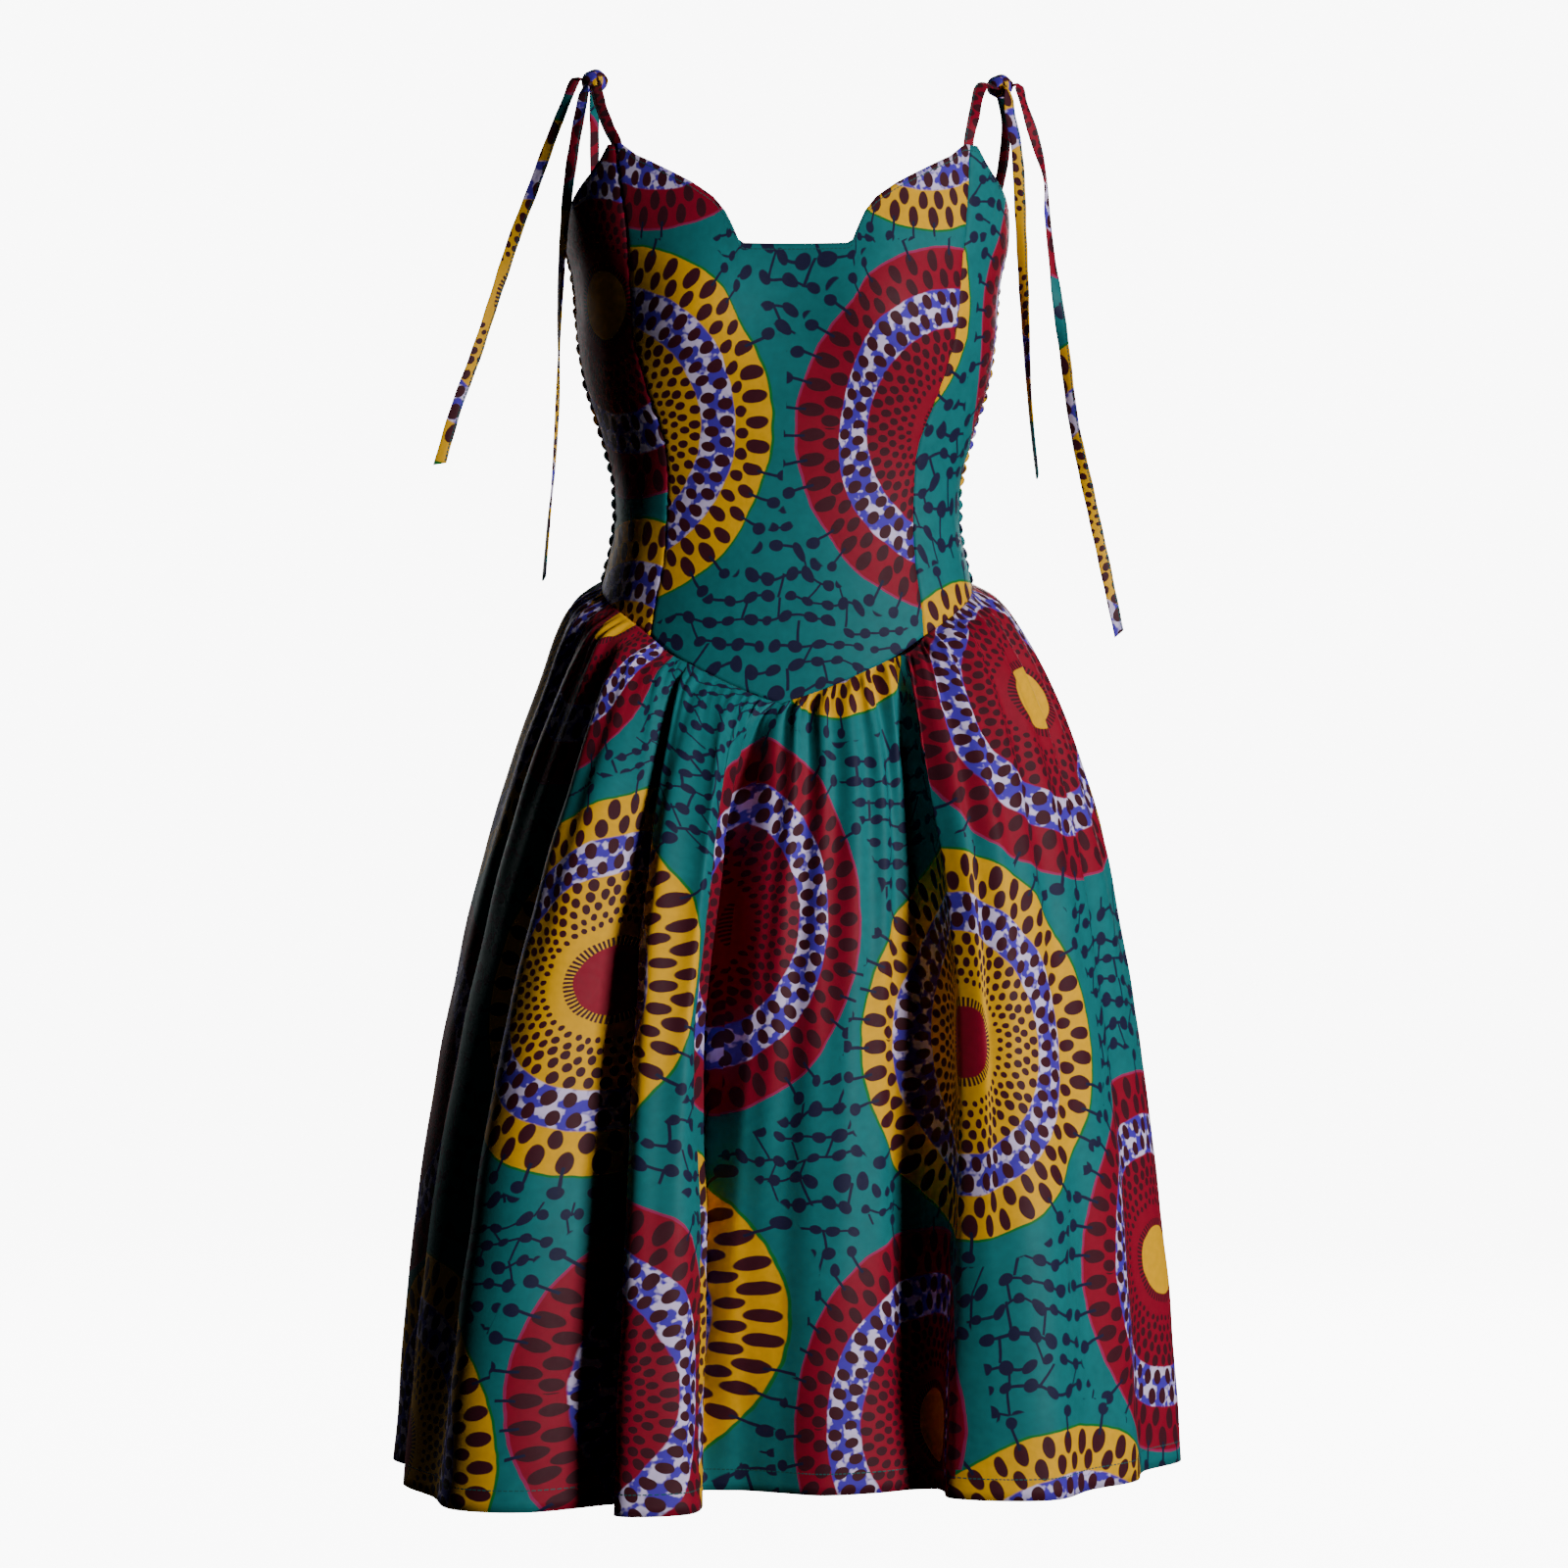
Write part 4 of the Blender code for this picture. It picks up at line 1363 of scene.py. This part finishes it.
@dataclass
class Strapwork:
    """The four straps, the two knots and the four free ends."""

    finish: bpy.types.Material
    width: float = 0.0086
    thickness: float = 0.0016
    front_inset: float = 0.0030
    back_inset: float = 0.0038
    lap: float = 0.011
    knot_left: Row = (-0.1415, 0.0000, 0.0010)
    knot_right: Row = (0.1565, 0.0040, -0.0020)
    knot_radii: Row = (0.0092, 0.0072, 0.0078)
    knot_gap: float = 0.0003
    tie_lead: float = 0.004
    slant: float = 0.0022
    stitch_inset: float = 0.0029
    steps: int = 130
    strap_steps: int = 60
    # share of the half width, share of the half thickness, round the strip's section
    section: tuple[Row, ...] = (
        (-1, 0), (-0.95, 0.62), (-0.82, 0.95), (-0.62, 0.8), (-0.52, 1), (0, 1.12), (0.52, 1),
        (0.82, 0.92), (0.95, 0.6), (1, 0), (0.94, -0.62), (0.6, -0.98), (0, -1.05), (-0.6, -0.98),
        (-0.94, -0.62),
    )

    def knot_exit(self, knot: Row, way: Row) -> Array:
        """Finds the point just off a knot's surface.

        Args:
            knot: The middle of the knot.
            way: The direction from its middle.

        Returns:
            The point.
        """
        way = unit(np.array(way, float))
        return np.array(knot) + way * (1 / np.linalg.norm(way / self.knot_radii) + self.knot_gap)

    def course(self, route: Sequence[Row], faces: Sequence[Row], steps: int) -> tuple[Array, Array, Array]:
        """Follows a smooth curve through a route.

        Args:
            route: Its points.
            faces: The way that the strap's flat side faces at each.
            steps: How many steps the curve has.

        Returns:
            The curve's points, the direction across the strap and its flat side's normal.
        """
        points = np.array(route, float)
        length = row_lengths(points[None])[0]
        table = curve(*np.column_stack([length, points, unit(np.array(faces, float))]).tolist())
        at = np.linspace(0, length[-1], steps + 1)

        def read(where: Array, column: int) -> Array:
            """Three columns of the route's table."""
            return np.stack([table.read(where, column + k) for k in range(3)], axis=-1)

        ahead = read(np.minimum(at + MM, length[-1]), 1) - read(np.maximum(at - MM, 0), 1)
        across = unit(np.cross(ahead, read(at, 4)))
        return read(at, 1), across, unit(np.cross(across, ahead))

    def strip(
        self, name: str, centre: Array, across: Array, normal: Array, cut: PrintCut,
        start: tuple[float, float], tapered: bool = False,
    ) -> bpy.types.Object:
        """Makes a folded and edge-stitched strip with rounded edges.

        Args:
            name: The piece's name.
            centre: The points of its middle line.
            across: The direction across it at each.
            normal: The direction out of its flat side at each.
            cut: Where the strip was cut from the printed cloth.
            start: The place of its first point in that cut.
            tapered: Whether its last end is cut to a slant.

        Returns:
            The piece.
        """
        section = np.array(self.section)
        steps = len(centre)
        ring = len(section)
        along = row_lengths(centre[None])[0]
        half = self.width / 2 * (1 + 0.035 * np.sin(along * 210) + 0.025 * np.sin(along * 87 + 1))
        points = centre[:, None] + section[:, :1] * (half[:, None] * across)[:, None]
        points = points + section[:, 1:] * (self.thickness / 2 * normal)[:, None]
        if tapered:
            points[-1] += unit(centre[-1] - centre[-2]) * (section[:, :1] * self.slant)
        reach = section[:, 0] * self.width / 2
        flat = np.stack(np.broadcast_arrays(start[0] + reach, start[1] - along[:, None]), axis=-1)
        edge = np.stack(np.broadcast_arrays(along[:, None], reach + self.stitch_inset), axis=-1)
        base = np.arange(steps - 1)[:, None] * ring
        corner = (base + np.arange(ring)).ravel()
        after = (base + (np.arange(ring) + 1) % ring).ravel()
        sides = np.stack([corner + ring, after + ring, after, corner], axis=1)
        k = np.arange(1, ring // 2)
        cap = np.stack([k, k + 1, ring - k - 1, ring - k], axis=1)
        faces = np.concatenate([sides, cap, cap[:, ::-1] + (steps - 1) * ring])
        flat, edge = flat.reshape(-1, 2), edge.reshape(-1, 2)
        return cloth_object(name, points.reshape(-1, 3), faces, flat, flat, edge, cut, self.finish)

    def tie(self, knot: Row, end: TieEnd) -> None:
        """Makes a free end that hangs from its knot.

        Args:
            knot: The middle of the knot.
            end: The free end.
        """
        start = self.knot_exit(knot, end.leaves)
        lead = start + unit(np.array(end.leaves, float)) * self.tie_lead
        route = [start, lead, *(MM * np.array(point) for point, _ in end.route)]
        faces = [end.faces, end.faces, *(face for _, face in end.route)]
        centre, across, normal = self.course(route, faces, self.steps)
        piece = self.strip(end.name + "_strap", centre, across, normal, end.cut, end.start, True)
        attach(piece, end.name)
        log.info("%s is %.3f m long", end.name, row_lengths(centre[None])[0, -1])

    def ties(self) -> None:
        """Makes the four free ends."""
        yellow = PrintCut((Disc(0.0, 0.0, YELLOW), Disc(0.03, 0.292, RED)))
        red = PrintCut((Disc(0.0, 0.0, RED), Disc(0.0, -0.31, YELLOW)))
        mixed = PrintCut((Disc(0.085, 0.087, RED), Disc(0.05, -0.17, YELLOW)))
        for end in (
            TieEnd(
                "tie_left_outer", (-1, -0.1, 0.15), (0.1, -0.3, 1),
                (
                    ((-161, -5, -12), (-0.4, -0.8, 0.5)), ((-173.5, -7, -44), (-0.3, -1, 0.1)),
                    ((-186, -9, -79), (-0.2, -1, 0)), ((-197.5, -10, -109), (0, -1, 0)),
                    ((-211, -11, -150), (0.4, -1, 0)), ((-227, -12, -199), (0.5, -1, 0)),
                    ((-242, -13, -240), (0.2, -1, 0)), ((-254, -14, -281), (0.1, -1, 0)),
                ),
                yellow, (0.03, 0.172), 0.308,
            ),
            TieEnd(
                "tie_left_inner", (-0.5, -0.8, -0.4), (-0.3, 0.2, 0.9),
                (
                    ((-150, -18, -19), (-0.3, -1, 0.3)), ((-154.5, -24, -46), (-0.3, -1, 0)),
                    ((-159, -30, -80), (-0.4, -0.9, 0)), ((-162.5, -35, -120), (-0.75, -0.7, 0)),
                    ((-165, -36, -172), (-0.9, -0.4, 0)), ((-166.5, -33, -233), (-1, 0.2, 0)),
                    ((-169.5, -30, -285), (-1, 0.1, 0)), ((-173, -27, -320), (-1, -0.2, 0)),
                    ((-177, -25, -365), (-1, -0.3, 0)),
                ),
                mixed, (0, 0.06), 0.371,
            ),
            TieEnd(
                "tie_right_inner", (0.45, -0.8, -0.35), (0.4, 0.2, 0.9),
                (
                    ((163, -13, -24), (0.3, -1, 0.2)), ((167, -18, -46), (0.2, -1, 0)),
                    ((169, -22, -70), (0.1, -1, 0)), ((170.5, -25, -109), (-0.3, -1, 0)),
                    ((173, -26, -164), (-0.8, -0.9, 0)), ((176, -26, -224), (-1, -0.3, 0)),
                    ((179, -25, -259), (-1, -0.2, 0)), ((182.5, -25, -290.5), (-1, -0.1, 0)),
                ),
                yellow, (0.034, 0.12), 0.288,
            ),
            TieEnd(
                "tie_right_outer", (1, 0, 0.1), (0, -0.3, 1),
                (
                    ((173.5, 2, -13), (0.6, -0.6, 0.5)), ((181.5, 1, -39), (0.4, -1, 0.1)),
                    ((189.5, 0, -70), (1, -0.3, 0)), ((191.2, -1, -97), (1, -0.6, 0)),
                    ((195, -2, -133), (0.9, -0.7, 0)), ((203.5, -3, -196), (-0.5, -1, 0)),
                    ((210.5, -4, -250), (-0.6, -1, 0)), ((221.5, -5, -302), (-0.2, -1, 0)),
                    ((232, -6, -350), (0.2, -1, 0)), ((243.5, -7, -405), (0.3, -1, 0)),
                ),
                red, (0.045, 0.02), 0.425,
            ),
        ):
            self.tie(self.knot_left if "left" in end.name else self.knot_right, end)

    def strap(
        self, name: str, knot: Row, sewn: tuple[float, float, float], middle: Sequence[tuple[Row, Row]]
    ) -> None:
        """Makes a strap from the inside of the bodice's edge up to its knot.

        Args:
            name: The solid that it stands for.
            knot: The middle of the knot.
            sewn: The bearing and drop where it is sewn in, and its distance inside.
            middle: The rest of its route in mm, with the way that it faces.
        """
        bearing, top_drop, inset = sewn
        route = []
        faces = []
        for drop in (top_drop + self.lap, top_drop):
            at = (np.array([bearing]), np.array([drop]))
            way = FORM.outward(*at)[0]
            route.append(FORM.point(*at)[0] - way * inset)
            faces.append(way)
        for point, face in middle:
            route.append(MM * np.array(point))
            faces.append(face)
        route.append(self.knot_exit(knot, route[-1] - np.array(knot)))
        faces.append(faces[-1])
        cut = PrintCut((Disc(0.118, -0.05, RED),))
        piece = self.strip(name + "_strip", *self.course(route, faces, self.strap_steps), cut, (0.0, 0.0))
        attach(piece, name)

    def straps(self) -> None:
        """Makes the four straps between the bodice and the knots."""
        tip = 0.0545
        tip_bearing = float(FORM.princess_bearing(np.array(tip)))
        front_left = (((-128, -53, -42.7), (-0.3, -1, 0.3)), ((-135, -33, -23.5), (-0.3, -1, 0.6)))
        back_left = (((-143.5, 40, -72), (-0.8, 0.6, 0.1)), ((-142.5, 22, -25), (-0.6, 0.8, 0.3)))
        front_right = (((135, -47, -33), (0.3, -1, 0.3)), ((142, -20, -6), (0.2, -0.8, 0.9)))
        back_right = (((157.5, 40, -70), (0.6, 0.8, 0.1)), ((162.5, 24, -27), (0.5, 0.8, 0.2)))
        for name, hand, knot, front, back in (
            ("left", -1, self.knot_left, front_left, back_left),
            ("right", 1, self.knot_right, front_right, back_right),
        ):
            self.strap("strap_front_" + name, knot, (hand * tip_bearing, tip, self.front_inset), front)
            self.strap("strap_back_" + name, knot, (hand * 109.0, 0.129, self.back_inset), back)

    def knot(self, name: str, middle: Row) -> None:
        """Makes a knot from three turns of the strap round one another.

        Args:
            name: The solid that it stands for.
            middle: The middle of the knot.
        """
        cut = PrintCut((Disc(0.12, 0.0, YELLOW),))
        turn = np.linspace(0, math.tau * 1.02, 61)
        # tilt of the turn, its lean, its size
        for k, (tilt, lean, size) in enumerate(((0.15, 0.1, 0.80), (1.05, -0.5, 0.88), (-0.75, 0.45, 0.93))):
            aside = 0.28 * np.sin(turn + k) + 0.10 * k - 0.1
            ring = np.stack([aside, np.sin(turn), np.cos(turn)], axis=-1)
            for angle, axis in ((tilt, "Z"), (lean, "Y")):
                ring = ring @ np.array(Matrix.Rotation(angle, 3, axis)).T
            centre = np.array(middle) + ring * self.knot_radii * size
            ahead = np.gradient(centre, axis=0)
            across = unit(np.cross(ahead, ring))
            normal = unit(np.cross(across, ahead))
            piece = self.strip(f"{name}_turn_{k + 1}", centre, across, normal, cut, (0.02 * k, 0.0))
            attach(piece, name)

    def build(self) -> None:
        """Makes the straps and the knots."""
        self.straps()
        self.knot("knot_left", self.knot_left)
        self.knot("knot_right", self.knot_right)


@dataclass
class Studio:
    """The camera, the lamps and the floor."""

    centre: tuple[float, float, float] = (0.0, 0.0, -0.5)
    floor_level: float = -1.30
    reach: float = 14.0
    paleness: float = 9.0
    fill: float = 0.006

    def camera(self) -> None:
        """Sets the camera at the photograph's viewing angle."""
        data = bpy.data.cameras.new("camera")
        data.lens = 93.75
        data.sensor_width = 36.0
        item = bpy.data.objects.new("camera", data)
        item.location = (-0.0022, -3.0, -0.515)
        item.rotation_euler = (math.radians(90), 0.0, 0.0)
        bpy.context.scene.collection.objects.link(item)
        bpy.context.scene.camera = item

    def lamp(self, name: str, place: Row, size: float, power: float, gloss: float) -> None:
        """Hangs a square soft lamp that faces the dress.

        Args:
            name: Its name.
            place: Where it hangs.
            size: The length of its side.
            power: Its power in watts.
            gloss: How much of it shows as gloss.
        """
        data = bpy.data.lights.new(name, "AREA")
        data.size = size
        data.energy = power
        data.specular_factor = gloss
        item = bpy.data.objects.new(name, data)
        item.location = place
        item.rotation_euler = (Vector(self.centre) - Vector(place)).to_track_quat("-Z", "Y").to_euler()
        bpy.context.scene.collection.objects.link(item)

    def shell(self, name: str, points: Sequence[Row], faces: Sequence[Sequence[int]]) -> None:
        """Makes a plain pale surface that is lit evenly, and that sheds no light on the dress.

        Args:
            name: Its name.
            points: Its points.
            faces: The corners of each face.
        """
        bench = NodeBench("pale_" + name)
        for label, value in (
            ("Base Color", (0.86, 0.86, 0.86, 1.0)),
            ("Roughness", 0.9),
            ("Emission Color", WHITE),
            ("Emission Strength", self.paleness),
        ):
            bench.shader.inputs[label].default_value = value
        mesh = bpy.data.meshes.new(name)
        mesh.from_pydata(list(points), [], list(faces))
        mesh.materials.append(bench.material)
        mesh.shade_smooth()
        item = bpy.data.objects.new(name, mesh)
        item.visible_diffuse = False
        item.visible_glossy = False
        item.visible_shadow = False
        bpy.context.scene.collection.objects.link(item)

    def room(self) -> None:
        """Makes a round pale floor, and the round pale wall that goes up from it."""
        turns = 64
        angles = [math.tau * k / turns for k in range(turns)]
        ring = [(self.reach * math.cos(angle), self.reach * math.sin(angle)) for angle in angles]
        floor = [(0.0, 0.0, self.floor_level), *((*place, self.floor_level) for place in ring)]
        wall = [(*place, self.floor_level + level * self.reach) for level in range(3) for place in ring]
        self.shell("floor", floor, [(0, k + 1, (k + 1) % turns + 1) for k in range(turns)])
        pairs = [(r * turns + k, r * turns + (k + 1) % turns) for r in range(2) for k in range(turns)]
        self.shell("wall", wall, [(a, b, b + turns, a + turns) for a, b in pairs])

    def air(self) -> None:
        """Fills the room with weak even light."""
        world = bpy.data.worlds.new("studio")
        world.use_nodes = True
        sky = world.node_tree.nodes["Background"]
        sky.inputs["Color"].default_value = WHITE
        sky.inputs["Strength"].default_value = self.fill
        bpy.context.scene.world = world

    def build(self) -> None:
        """Sets up the lamps, the room and the air."""
        self.lamp("key", (2.45, -2.36, 0.20), 0.8, 136.0, 1.0)
        self.lamp("back_key", (0.9, 3.2, 0.8), 1.2, 110.0, 0.3)
        self.lamp("left_fill", (-2.0, 3.0, 0.3), 1.0, 22.0, 0.0)
        self.room()
        self.air()


def write_sizes() -> None:
    """Brings the scene's placements up to date."""
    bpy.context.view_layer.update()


def main() -> None:
    """Builds the dress and its studio, and reports each piece."""
    logging.basicConfig(level=logging.INFO, format="%(message)s")
    studio = Studio()
    studio.camera()
    print_finish = WaxPrint("wax_print").build()
    shirred_finish = WaxPrint("shirred_wax_print", roughness=0.70).build()
    strap_finish = WaxPrint("strap_wax_print", roughness=0.58).build()
    strapwork = Strapwork(strap_finish)
    strapwork.ties()
    log.info("free ends made")
    bodice = Bodice(print_finish, shirred_finish)
    bodice.centre()
    bodice.side(-1)
    bodice.side(1)
    bodice.back()
    log.info("bodice made")
    Skirt(print_finish).build()
    log.info("skirt made")
    strapwork.build()
    log.info("straps and knots made")
    studio.build()
    write_sizes()


if __name__ == "__main__":
    main()
